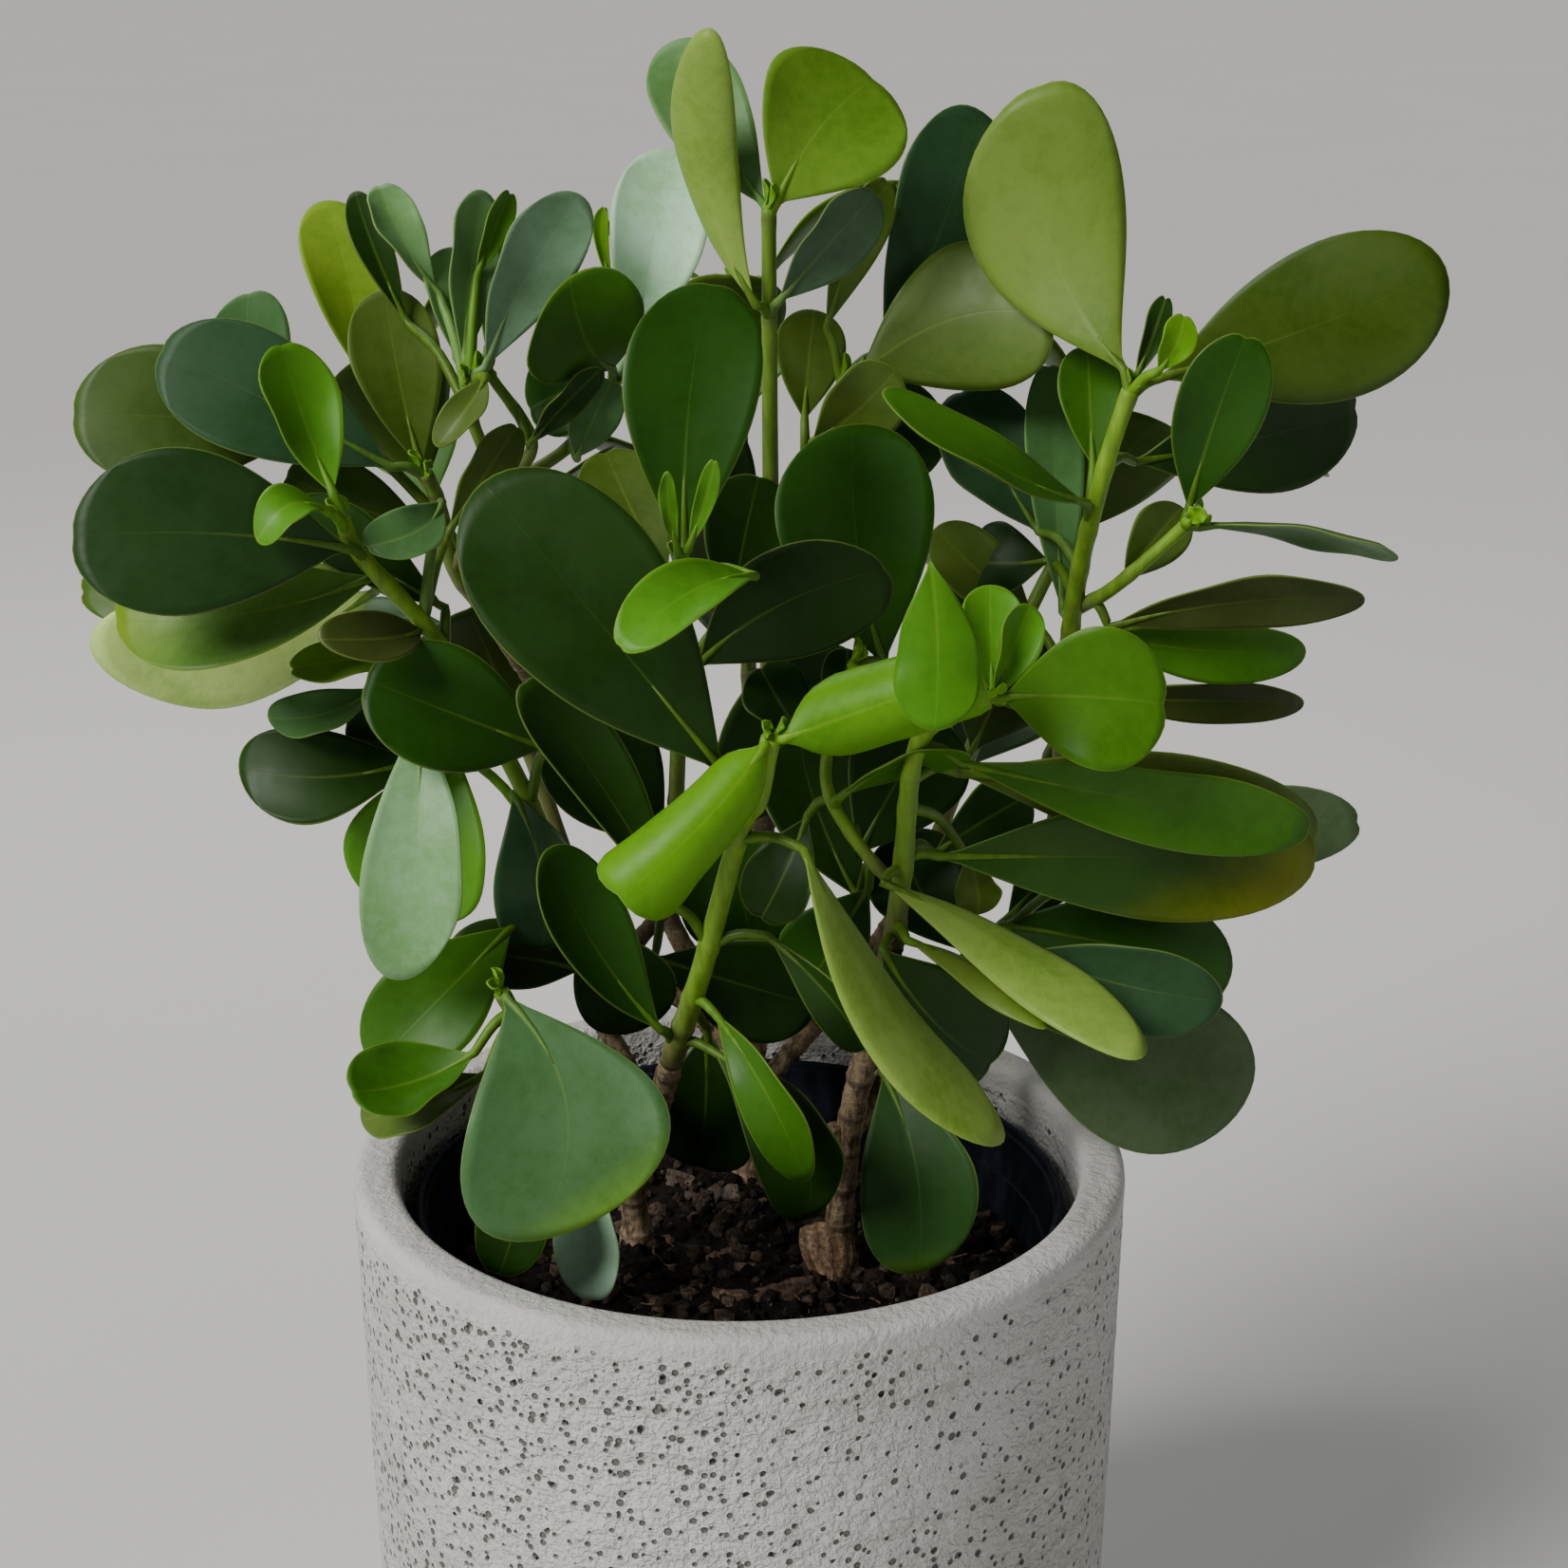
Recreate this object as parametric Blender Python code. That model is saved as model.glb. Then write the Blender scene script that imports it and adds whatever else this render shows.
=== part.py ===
"""Potted clusia: a bushy house plant in its nursery pot, inside a concrete cover pot.

Metres, +Z up, origin at the middle of the cover pot's underside.
The front of the plant faces -Y.
"""

import math
import random

import bmesh
import bpy
from mathutils import Matrix, Vector

MM = 0.001
GAP = 0.3 * MM
MERGE_REACH = 0.001 * MM

# Cover pot
POT_HEIGHT = 185 * MM
POT_RIM_RADIUS = 100 * MM
POT_FOOT_RADIUS = 96.5 * MM
POT_MOUTH_RADIUS = 88.2 * MM
POT_FLOOR = 14 * MM

# Nursery pot, standing on the cover pot's floor
NURSERY_RIM_RADIUS = 84 * MM
NURSERY_LIP = 3.5 * MM
NURSERY_WALL = 1.6 * MM
NURSERY_FOOT_RADIUS = 62 * MM
NURSERY_RIM_DEPTH = 11 * MM
NURSERY_FOOT = POT_FLOOR + GAP

# Soil, below the cover pot's rim
SOIL_DEPTH = 35 * MM
SOIL_DOME = 3 * MM
SOIL_HOLE_DEPTH = 26 * MM

# Leaves
BLADE_THICKNESS = 1.5 * MM
PETIOLE_RADIUS = 1.35 * MM
BLADE_WIDEST = 0.64
BLADE_WEDGE = 1.05
STEEPEST_CURL = 90
LONG_BLADE = 66 * MM
LONG_BLADE_STATIONS = (0.0, 0.3, 0.6, 0.84, 0.965)
SHORT_BLADE_STATIONS = (0.0, 0.36, 0.7, 0.94)
STEM_SIDES = 5

# The camera that the photograph was taken from, fitted to the pot's rim. A place
# on the plant is given by its pixel in the 1652 x 1652 photograph and by how far
# it stands in front of the pot's axis, in millimetres.
PHOTO_MIDDLE = 826
PHOTO_FOCAL = 3000
EYE = Vector((0.0, -674.3 * MM, POT_HEIGHT + 323.8 * MM))
EYE_PITCH = math.radians(18.35)
EYE_YAW = math.radians(0.97)

LOOK = Vector((
    math.sin(EYE_YAW) * math.cos(EYE_PITCH),
    math.cos(EYE_YAW) * math.cos(EYE_PITCH),
    -math.sin(EYE_PITCH),
))
LOOK_RIGHT = Vector((math.cos(EYE_YAW), -math.sin(EYE_YAW), 0.0))
LOOK_UP = LOOK_RIGHT.cross(LOOK)


def from_photo(place):
    """The point at a pixel of the photograph, a given distance before the axis."""
    x, y, front = place
    across = (x - PHOTO_MIDDLE) / PHOTO_FOCAL
    up = (PHOTO_MIDDLE - y) / PHOTO_FOCAL
    ray = LOOK + LOOK_RIGHT * across + LOOK_UP * up
    return EYE + ray * ((-front * MM - EYE.y) / ray.y)


# Woody stems. A path is a list of (x, y, front), then the radius in mm at its
# start and at its end. The first path of each goes into the soil.
WOOD = {
    "woody_stem_left": [
        ([(672, 1335, -12), (668, 1250, -9), (690, 1178, 4), (707, 1119, 18)], 3.9, 3.0),
        ([(690, 1178, 4), (640, 1085, -12), (632, 1052, -16)], 3.0, 2.6),
        ([(640, 1085, -12), (660, 1010, -30), (697, 962, -34)], 2.6, 2.2),
        ([(684, 1195, 1), (655, 1182, 10)], 2.8, 2.4),
    ],
    "woody_stem_right": [
        ([(885, 1345, 4), (885, 1282, 5), (893, 1200, 8), (912, 1110, 12), (940, 997, 18)], 4.0, 3.0),
        ([(893, 1200, 8), (941, 1120, 4)], 2.8, 2.4),
        ([(900, 1165, 9), (975, 1095, -24), (1062, 985, -42), (1106, 895, -48), (1118, 800, -46)], 3.0, 2.4),
        ([(890, 1230, 7), (877, 1187, 10)], 2.6, 2.2),
    ],
    "woody_stem_back": [
        ([(790, 1290, -52), (792, 1130, -56), (802, 940, -60), (808, 760, -58)], 4.2, 2.8),
        ([(792, 1130, -56), (700, 960, -62), (600, 780, -58), (520, 655, -48)], 3.0, 2.4),
    ],
}

# Leafy shoots. Each has its stem paths, as above, and its leaves. A leaf is
# (path, along, base, tip, edge, edge, roll, arch, curl): it leaves its stem path at
# the share "along", and its blade runs from base to tip, with a point of the photo
# on each of its two edges where it is widest. Roll turns the blade about its midrib
# from facing the viewer (180 shows the underside), arch in mm lifts the middle
# towards the upper face, and curl is the angle that each half turns up by. A rolled
# leaf has that angle at its foot and at its end, and the shares between which it opens.
# A row whose path is None is the end of a rolled leaf, folded back over it.
SHOOTS = {
    "leafy_shoot_front": {
        "seat": ("woody_stem_left", 0),
        "stems": [
            ([(733, 1042, 32), (746, 999, 38), (781, 872, 48), (799, 843, 51),
              (812, 777, 55)], 2.9, 2.2),
        ],
        "leaves": [
            (0, 0.98, (806, 786, 57), (648, 948, 70), (680, 873), (748, 912), 180, -3, (250, 120, 0.2, 0.95)),
            (0, 0.98, (826, 778, 56), (1034, 706, 62), (946, 694), (971, 768), 180, 2, (160, 170, 0.2, 0.9)),
            (0, 0.72, (762, 812, 52), (508, 508, 40), (650, 525), (525, 675), 8, 5, 16),
            (0, 0.72, (845, 895, 56), (1057, 1202, 66), (910, 1102), (970, 1070), 122, 6, 24),
            (0, 0.42, (712, 955, 44), (552, 716, 38), (578, 797), (655, 780), 30, -4, 44),
            (0, 0.42, (808, 987, 43), (910, 1107, 44), (838, 1052), (890, 1045), 40, 6, 32),
            (0, 0.24, (752, 1068, 38), (849, 1245, 54), (835, 1160), (788, 1190), 40, 9, 32),
            (0, 0.05, (697, 1085, 30), (578, 893, 26), (582, 985), (668, 965), 30, -3, 44),
            (0, 0.08, (750, 1108, 28), (852, 1286, 40), (882, 1205), (785, 1215), 35, 8, 32),
            (0, 0.14, (745, 1085, -6), (738, 1232, -14), (684, 1180), (795, 1180), 14, 4, 24),
            (None, 0.0, (980, 592, 62), (984, 770, 67), (942, 745), (1035, 720), 0, 0, -30),
        ],
    },
    "leafy_shoot_middle": {
        "seat": ("woody_stem_left", 2),
        "stems": [
            ([(712, 850, -25), (716, 700, 2), (715, 598, 22)], 2.3, 1.8),
        ],
        "leaves": [
            (0, 0.99, (722, 587, 22), (748, 297, -4), (657, 400), (803, 390), 4, 6, 16),
            (0, 0.99, (715, 584, 30), (703, 497, 34), (713, 528), (695, 531), 0, 0, 20),
            (0, 0.99, (724, 580, 30), (753, 484, 34), (755, 524), (734, 516), 0, 0, 20),
            (0, 0.95, (796, 606, 34), (651, 682, 64), (684, 604), (738, 648), 30, 7, 40),
            (0, 0.93, (703, 610, 14), (637, 474, -10), (701, 503), (620, 543), 14, 3, 16),
            (0, 0.62, (735, 702, -6), (936, 600, 4), (840, 566), (880, 682), 20, 4, 20),
            (0, 0.62, (770, 650, -30), (800, 500, -44), (836, 563), (743, 545), 20, 3, 16),
            (0, 0.3, (745, 880, -34), (905, 690, -46), (900, 803), (794, 713), 20, 3, 16),
            (0, 0.3, (700, 890, -34), (592, 752, -42), (681, 762), (581, 838), 20, 3, 16),
            (0, 0.08, (690, 1010, -26), (862, 1060, -20), (790, 1098), (800, 990), 20, 4, 16),
            (0, 0.2, (745, 845, -36), (792, 1002, -34), (838, 926), (714, 952), 14, 4, 20),
        ],
    },
    "leafy_shoot_left": {
        "seat": ("woody_stem_left", 1),
        "stems": [
            ([(600, 950, -12), (560, 850, -4), (505, 745, 4), (455, 667, 10),
              (378, 583, 16), (360, 545, 18)], 2.5, 1.9),
        ],
        "leaves": [
            (0, 0.97, (352, 520, 20), (296, 361, 8), (280, 420), (366, 435), 24, -4, 48),
            (0, 0.97, (345, 538, 24), (271, 570, 34), (300, 507), (312, 550), 30, 6, 40),
            (0, 0.92, (366, 578, 22), (74, 565, 36), (185, 472), (195, 648), 6, 4, 16),
            (0, 0.88, (396, 606, 12), (120, 652, 14), (245, 698), (235, 585), 26, 6, 28),
            (0, 0.86, (396, 622, 4), (98, 690, -2), (190, 758), (190, 622), 156, 5, 20),
            (0, 0.72, (445, 662, 10), (337, 673, 34), (395, 642), (385, 697), 30, 4, 28),
            (0, 0.7, (435, 690, 6), (304, 705, 14), (340, 717), (360, 672), 30, 4, 24),
            (0, 0.55, (402, 722, 0), (282, 756, 4), (330, 726), (342, 771), 36, 4, 24),
            (0, 0.72, (470, 640, 4), (310, 528, -6), (387, 541), (348, 596), 36, 4, 24),
            (0, 0.55, (440, 750, 12), (420, 1033, 34), (379, 950), (487, 905), 14, 8, 24),
            (0, 0.52, (440, 800, 0), (251, 808, 2), (320, 766), (340, 865), 16, 5, 20),
            (0, 0.4, (575, 788, 12), (384, 715, 22), (450, 668), (470, 818), 10, 5, 20),
            (0, 0.33, (540, 835, -2), (570, 1002, 4), (515, 920), (614, 900), 16, 5, 24),
            (0, 0.2, (540, 975, 6), (393, 1122, 24), (536, 1055), (386, 1046), 12, 6, 20),
            (0, 0.08, (612, 1022, -2), (472, 1003, 10), (520, 966), (530, 1042), 16, 4, 20),
            (0, 0.28, (480, 790, -14), (425, 968, -8), (366, 875), (512, 925), 16, 5, 20),
            (0, 0.78, (466, 527, 2), (383, 576, 18), (412, 538), (432, 592), 20, 4, 28),
            (0, 0.78, (474, 560, -4), (546, 448, -10), (482, 505), (534, 512), 20, 3, 24),
            (0, 0.55, (455, 792, -4), (361, 778, -2), (392, 727), (397, 833), 14, 3, 20),
            (0, 0.84, (300, 606, -6), (83, 622, -10), (150, 580), (155, 658), 10, 3, 20),
            (0, 0.06, (612, 968, -9), (684, 1082, -7), (700, 1012), (610, 1066), 14, 4, 20),
        ],
    },
    "leafy_shoot_upper_left": {
        "seat": ("woody_stem_back", 1),
        "stems": [
            ([(478, 598, -40), (462, 530, -36), (448, 498, -32)], 2.3, 1.8),
            ([(478, 598, -40), (520, 520, -30), (497, 440, -24), (494, 400, -20)], 2.0, 1.4),
            ([(520, 520, -30), (561, 468, -34), (515, 393, -32)], 1.8, 1.3),
            ([(520, 520, -30), (600, 470, -44), (650, 400, -42)], 1.8, 1.4),
        ],
        "leaves": [
            (0, 0.97, (412, 492, -28), (168, 368, -30), (300, 356), (245, 476), 8, 4, 20),
            (0, 0.97, (444, 493, -34), (405, 304, -52), (362, 340), (468, 385), 12, 3, 20),
            (0, 0.7, (330, 452, -40), (75, 438, -30), (170, 364), (150, 508), 8, 5, 20),
            (0, 0.85, (386, 404, -58), (342, 211, -72), (320, 275), (407, 268), 16, 3, 24),
            (1, 0.98, (512, 388, -18), (612, 205, -28), (530, 262), (621, 262), 20, 3, 28),
            (1, 0.97, (490, 385, -24), (509, 200, -44), (529, 269), (475, 264), 30, 3, 24),
            (1, 0.9, (514, 372, -32), (534, 257, -48), (548, 302), (506, 295), 20, 2, 24),
            (1, 0.93, (482, 376, -32), (497, 262, -48), (445, 318), (518, 305), 20, 3, 24),
            (1, 0.85, (462, 308, -34), (401, 193, -46), (402, 245), (456, 250), 36, 3, 44),
            (1, 0.8, (430, 340, -46), (374, 201, -60), (366, 240), (414, 255), 18, 3, 24),
            (1, 0.95, (512, 396, -12), (460, 470, 2), (464, 433), (493, 454), 30, 4, 28),
            (2, 0.7, (558, 470, -28), (634, 388, -26), (618, 428), (596, 407), 36, 2, 24),
            (3, 0.98, (664, 372, -40), (705, 157, -54), (643, 238), (749, 222), 12, 3, 32),
            (3, 0.97, (648, 305, -44), (637, 217, -56), (628, 262), (644, 264), 30, 3, 20),
            (3, 0.96, (646, 390, -36), (600, 293, -18), (541, 350), (680, 322), 10, 4, 24),
            (3, 0.55, (608, 484, -38), (646, 400, -30), (655, 441), (609, 420), 20, 3, 20),
            (0, 0.7, (305, 440, -56), (262, 307, -68), (217, 345), (306, 350), 10, 3, 20),
            (1, 0.92, (503, 292, -30), (539, 201, -40), (512, 236), (541, 236), 30, 2, 40),
            (3, 0.9, (646, 404, -48), (556, 432, -44), (588, 368), (612, 452), 14, 3, 20),
            (0, 0.3, (452, 560, -42), (300, 500, -40), (372, 486), (352, 566), 14, 4, 20),
        ],
    },
    "leafy_shoot_top": {
        "seat": ("woody_stem_back", 0),
        "stems": [
            ([(812, 600, -52), (811, 400, -40), (810, 219, -32)], 2.4, 1.8),
            ([(812, 600, -52), (860, 470, -50), (890, 400, -50)], 1.9, 1.5),
        ],
        "leaves": [
            (0, 0.98, (818, 215, -30), (922, 82, -42), (812, 72), (951, 162), 8, 4, 20),
            (0, 0.98, (806, 216, -36), (710, 42, -66), (688, 115), (790, 100), 14, 2, 24),
            (0, 0.8, (798, 322, -30), (746, 29, -26), (712, 150), (781, 162), 150, 3, 34),
            (0, 0.8, (822, 318, -30), (924, 203, -34), (858, 235), (922, 262), 34, 3, 32),
            (1, 0.97, (872, 345, -52), (938, 188, -64), (880, 250), (936, 248), 24, 3, 20),
            (1, 0.99, (930, 372, -60), (1030, 114, -78), (948, 190), (1060, 235), 12, 4, 20),
            (1, 0.98, (905, 398, -46), (1108, 332, -36), (990, 262), (1045, 413), 168, 4, 20),
            (1, 0.62, (856, 466, -44), (944, 390, -40), (872, 410), (940, 455), 20, 3, 20),
            (1, 0.5, (848, 443, -54), (858, 326, -64), (817, 372), (891, 372), 12, 3, 20),
            (0, 0.38, (800, 560, -62), (700, 430, -70), (777, 446), (695, 508), 20, 3, 16),
            (1, 0.3, (870, 520, -66), (985, 420, -76), (980, 498), (907, 414), 20, 3, 16),
        ],
    },
    "leafy_shoot_right": {
        "seat": ("woody_stem_right", 0),
        "stems": [
            ([(951, 917, 22), (969, 780, 28), (1040, 738, 34)], 2.8, 2.0),
            ([(951, 917, 22), (931, 921, 20), (878, 848, 16), (872, 790, 8), (900, 700, 0)], 1.7, 1.3),
        ],
        "leaves": [
            (0, 0.98, (1047, 732, 32), (1043, 616, 22), (1016, 655), (1078, 655), 16, 2, 50),
            (0, 0.98, (1050, 736, 34), (1086, 637, 28), (1055, 676), (1102, 670), 30, 2, 62),
            (0, 0.98, (1056, 735, 36), (1231, 742, 46), (1160, 661), (1165, 812), 8, 4, 16),
            (1, 0.42, (885, 842, 22), (1022, 796, 30), (948, 800), (960, 822), 66, 4, 20),
            (0, 0.72, (1012, 804, 26), (1382, 874, 28), (1272, 818), (1230, 895), 20, 5, 24),
            (0, 0.32, (990, 903, 22), (1388, 905, 8), (1255, 838), (1290, 972), 10, 4, 16),
            (0, 0.28, (928, 930, 30), (1206, 1113, 58), (1110, 1004), (1085, 1066), 132, 6, 20),
            (0, 0.07, (955, 992, 31), (1104, 1082, 42), (1058, 1030), (1038, 1057), 130, 3, 24),
            (1, 0.97, (932, 700, -12), (900, 446, -30), (817, 540), (986, 545), 8, 4, 16),
            (1, 0.45, (850, 860, 8), (800, 970, 12), (783, 915), (853, 946), 24, 4, 20),
            (1, 0.8, (880, 752, -6), (893, 683, -10), (863, 722), (919, 712), 14, 2, 20),
            (1, 0.72, (850, 780, -6), (800, 700, -12), (847, 711), (789, 747), 24, 3, 20),
            (0, 0.5, (1018, 900, 6), (1030, 964, 8), (1004, 936), (1053, 938), 14, 3, 20),
            (0, 0.6, (1010, 815, 12), (1388, 880, 0), (1255, 797), (1235, 905), 14, 4, 20),
            (1, 0.3, (905, 900, -10), (988, 755, -28), (1012, 842), (900, 778), 14, 4, 20),
            (1, 0.16, (915, 935, 2), (848, 1042, -6), (918, 1026), (828, 974), 14, 4, 20),
            (0, 0.34, (985, 900, 4), (1085, 838, -8), (1010, 842), (1066, 890), 14, 4, 20),
            (0, 0.03, (930, 1000, 28), (1048, 1122, 20), (1050, 1045), (928, 1108), -12, 3, 20),
            (1, 0.14, (905, 946, -10), (842, 776, -36), (802, 838), (900, 800), 12, 4, 20),
        ],
    },
    "leafy_shoot_upper_right": {
        "seat": ("woody_stem_right", 2),
        "stems": [
            ([(1125, 690, -40), (1138, 598, -26), (1155, 527, -18), (1172, 466, -16),
              (1191, 412, -16)], 2.6, 2.2),
            ([(1137, 640, -34), (1176, 617, -20), (1250, 553, -14)], 1.9, 1.6),
        ],
        "leaves": [
            (0, 0.99, (1184, 389, -18), (1098, 87, -40), (1006, 205), (1180, 175), 172, 5, 16),
            (0, 0.98, (1225, 398, -18), (1524, 285, -34), (1415, 245), (1430, 419), 168, 5, 16),
            (0, 0.99, (1220, 392, -10), (1248, 331, -8), (1223, 356), (1263, 358), 16, 2, 28),
            (0, 0.99, (1197, 400, -20), (1229, 311, -26), (1203, 350), (1232, 347), 16, 2, 24),
            (0, 0.82, (1196, 487, -30), (1432, 432, -46), (1330, 524), (1325, 403), 14, 4, 20),
            (0, 0.66, (1146, 529, -14), (930, 413, 2), (1000, 428), (1000, 476), 52, 4, 36),
            (0, 0.66, (1152, 492, -24), (1146, 365, -40), (1116, 430), (1183, 412), 12, 3, 20),
            (0, 0.36, (1120, 645, -44), (1105, 382, -58), (1081, 470), (1141, 470), 14, 3, 20),
            (0, 0.3, (1145, 668, -34), (1376, 688, -18), (1290, 659), (1275, 720), 34, 4, 20),
            (0, 0.14, (1150, 738, -40), (1374, 741, -28), (1290, 720), (1290, 764), 40, 4, 20),
            (0, 0.2, (1090, 655, -52), (985, 556, -60), (1047, 566), (999, 617), 20, 3, 20),
            (0, 0.55, (1095, 560, -46), (1010, 410, -62), (1085, 439), (996, 489), 20, 3, 20),
            (1, 0.98, (1252, 538, -14), (1314, 351, -6), (1226, 460), (1342, 410), 8, 3, 20),
            (1, 0.97, (1264, 557, -12), (1473, 590, -4), (1375, 559), (1370, 576), 76, 4, 20),
            (1, 0.99, (1250, 552, -8), (1268, 537, -4), (1268, 550), (1255, 535), 10, 0, 20),
            (1, 0.55, (1185, 612, -22), (1246, 534, -26), (1248, 581), (1200, 544), 26, 3, 20),
            (1, 0.2, (1168, 662, -24), (1438, 631, -4), (1335, 609), (1320, 664), 36, 4, 20),
            (0, 0.45, (1105, 590, -50), (1020, 590, -60), (1051, 548), (1051, 632), 24, 3, 20),
            (0, 0.05, (1100, 800, -56), (1190, 820, -50), (1149, 850), (1166, 776), 24, 3, 20),
            (0, 0.05, (1060, 740, -56), (974, 618, -64), (1048, 633), (964, 693), 20, 3, 20),
        ],
    },
    "leafy_shoot_low_left": {
        "seat": ("woody_stem_left", 3),
        "stems": [
            ([(600, 1130, 24), (548, 1075, 34), (528, 1045, 36)], 2.4, 2.0),
        ],
        "leaves": [
            (0, 0.97, (533, 1051, 40), (562, 1308, 66), (698, 1138), (490, 1245), 4, 6, 16),
            (0, 0.9, (500, 1108, 40), (368, 1150, 52), (404, 1098), (427, 1172), 30, -5, 48),
            (0, 0.86, (512, 1130, 34), (380, 1180, 36), (417, 1134), (438, 1190), 34, 6, 28),
            (0, 0.55, (570, 1180, 22), (525, 1345, 36), (504, 1275), (579, 1296), 20, 5, 24),
            (0, 0.2, (618, 1200, 14), (626, 1372, 26), (583, 1312), (649, 1302), 16, 4, 24),
        ],
    },
    "leafy_shoot_low_right": {
        "seat": ("woody_stem_right", 1),
        "stems": [
            ([(1000, 1060, 4), (1050, 990, 2)], 2.4, 2.0),
        ],
        "leaves": [
            (0, 0.99, (1055, 975, 0), (1297, 1030, 6), (1190, 937), (1190, 1066), 10, 5, 20),
            (0, 0.97, (1075, 1003, 10), (1288, 1056, 30), (1185, 994), (1225, 1098), 20, 5, 24),
            (0, 0.7, (1046, 1056, -6), (1317, 1152, 2), (1190, 1212), (1270, 1052), 8, 5, 16),
            (0, 0.1, (930, 1130, 14), (966, 1342, 36), (902, 1245), (1031, 1265), 6, 7, 24),
            (0, 0.95, (1150, 925, -10), (1434, 864, -16), (1380, 823), (1385, 909), 24, 4, 20),
            (0, 0.9, (1062, 968, -12), (1128, 896, -26), (1068, 912), (1124, 950), 14, 3, 20),
            (0, 0.5, (1018, 1002, -8), (950, 876, -30), (908, 928), (1008, 892), 14, 3, 20),
        ],
    },
}

# The shoots behind, which the photograph doesn't show, follow a rule: a stem that
# leans away from the pot's axis, with pairs of leaves, each pair across the last.
BACK_SHOOTS = {
    "leafy_shoot_back_left": {"fork": 0.36, "from": (-46, 72, 236), "to": (-98, 104, 368), "seed": 4},
    "leafy_shoot_back_middle": {"fork": 0.44, "from": (4, 92, 250), "to": (0, 132, 390), "seed": 9},
    "leafy_shoot_back_right": {"fork": 0.30, "from": (50, 72, 232), "to": (106, 104, 350), "seed": 15},
}
BACK_PAIRS = 4
BACK_LEAF_LENGTH = 64
BACK_LEAF_WIDTH = 37

COLOURS = {
    "cover_pot": ((0.44, 0.41, 0.37), 0.75),
    "nursery_pot": ((0.018, 0.023, 0.034), 0.4),
    "soil": ((0.045, 0.027, 0.017), 0.95),
    "woody_stem": ((0.17, 0.12, 0.075), 0.85),
    "leafy_shoot": ((0.045, 0.13, 0.022), 0.38),
}


def clear_scene():
    for item in list(bpy.data.objects):
        bpy.data.objects.remove(item, do_unlink=True)


def material_for(name):
    kind = next(key for key in COLOURS if name.startswith(key))
    colour, roughness = COLOURS[kind]
    material = bpy.data.materials.new(name)
    material.use_nodes = True
    shader = material.node_tree.nodes["Principled BSDF"]
    shader.inputs["Base Color"].default_value = (*colour, 1.0)
    shader.inputs["Roughness"].default_value = roughness
    shader.inputs["Metallic"].default_value = 0.0
    return material


def mesh_object(name, shape):
    bmesh.ops.recalc_face_normals(shape, faces=shape.faces)
    mesh = bpy.data.meshes.new(name)
    shape.to_mesh(mesh)
    shape.free()
    thing = bpy.data.objects.new(name, mesh)
    bpy.context.scene.collection.objects.link(thing)
    return thing


def smooth_path(points, steps):
    """Points along a smooth curve through the given ones."""
    ends = [points[0] * 2 - points[1]] + list(points) + [points[-1] * 2 - points[-2]]
    path = []
    for index in range(len(points) - 1):
        before, start, end, after = ends[index:index + 4]
        for step in range(steps):
            t = step / steps
            path.append(0.5 * (
                start * 2 + (end - before) * t
                + (before * 2 - start * 5 + end * 4 - after) * t * t
                + (start * 3 - before - end * 3 + after) * t * t * t
            ))
    path.append(points[-1].copy())
    return path


def path_point(path, share):
    """The point at a share of a path's length."""
    lengths = [(path[i + 1] - path[i]).length for i in range(len(path) - 1)]
    left = share * sum(lengths)
    for index, length in enumerate(lengths):
        if left <= length or index == len(lengths) - 1:
            return path[index].lerp(path[index + 1], min(left / length, 1.0))
        left -= length
    return path[-1]


def stem_tube(name, path, first_radius, last_radius, sides=STEM_SIDES):
    """A stem along a path: circles bridged one to the next, with flat ends."""
    shape = bmesh.new()
    rims = []
    side = Vector((1.0, 0.0, 0.0))
    for index, point in enumerate(path):
        ahead = (path[min(index + 1, len(path) - 1)] - path[max(index - 1, 0)]).normalized()
        side = (side - ahead * side.dot(ahead)).normalized()
        turn = Matrix((side, ahead.cross(side), ahead)).transposed().to_4x4()
        radius = first_radius + (last_radius - first_radius) * index / (len(path) - 1)
        ring = bmesh.ops.create_circle(
            shape, segments=sides, radius=radius, matrix=Matrix.Translation(point) @ turn
        )["verts"]
        rims.append(list({edge for vert in ring for edge in vert.link_edges}))
    for lower, upper in zip(rims, rims[1:]):
        bmesh.ops.bridge_loops(shape, edges=lower + upper)
    bmesh.ops.holes_fill(shape, edges=rims[0] + rims[-1], sides=sides)
    return mesh_object(name, shape)


def blade_half_width(share):
    """Half the blade's width, as a share of its greatest: narrow below, round at the tip."""
    if share < BLADE_WIDEST:
        return math.sin(math.pi / 2 * share / BLADE_WIDEST) ** BLADE_WEDGE
    return math.sqrt(1 - ((share - BLADE_WIDEST) / (1 - BLADE_WIDEST)) ** 2)


def leaf_frame(base, tip, roll):
    """The directions along a blade, across it and out of its upper face."""
    along = (tip - base).normalized()
    view = EYE - (base + tip) / 2
    normal = (view - along * view.dot(along)).normalized()
    across = along.cross(normal)
    angle = math.radians(roll)
    turned = normal * math.cos(angle) + across * math.sin(angle)
    return along, along.cross(turned), turned


def smooth_step(low, high, value):
    share = min(max((value - low) / (high - low), 0.0), 1.0)
    return share * share * (3 - 2 * share)


def curl_at(curls, share):
    """How far each half of the blade is turned up, at a share of its length."""
    foot, end, starts, stops = curls
    return foot + (end - foot) * smooth_step(starts, stops, share)


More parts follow.
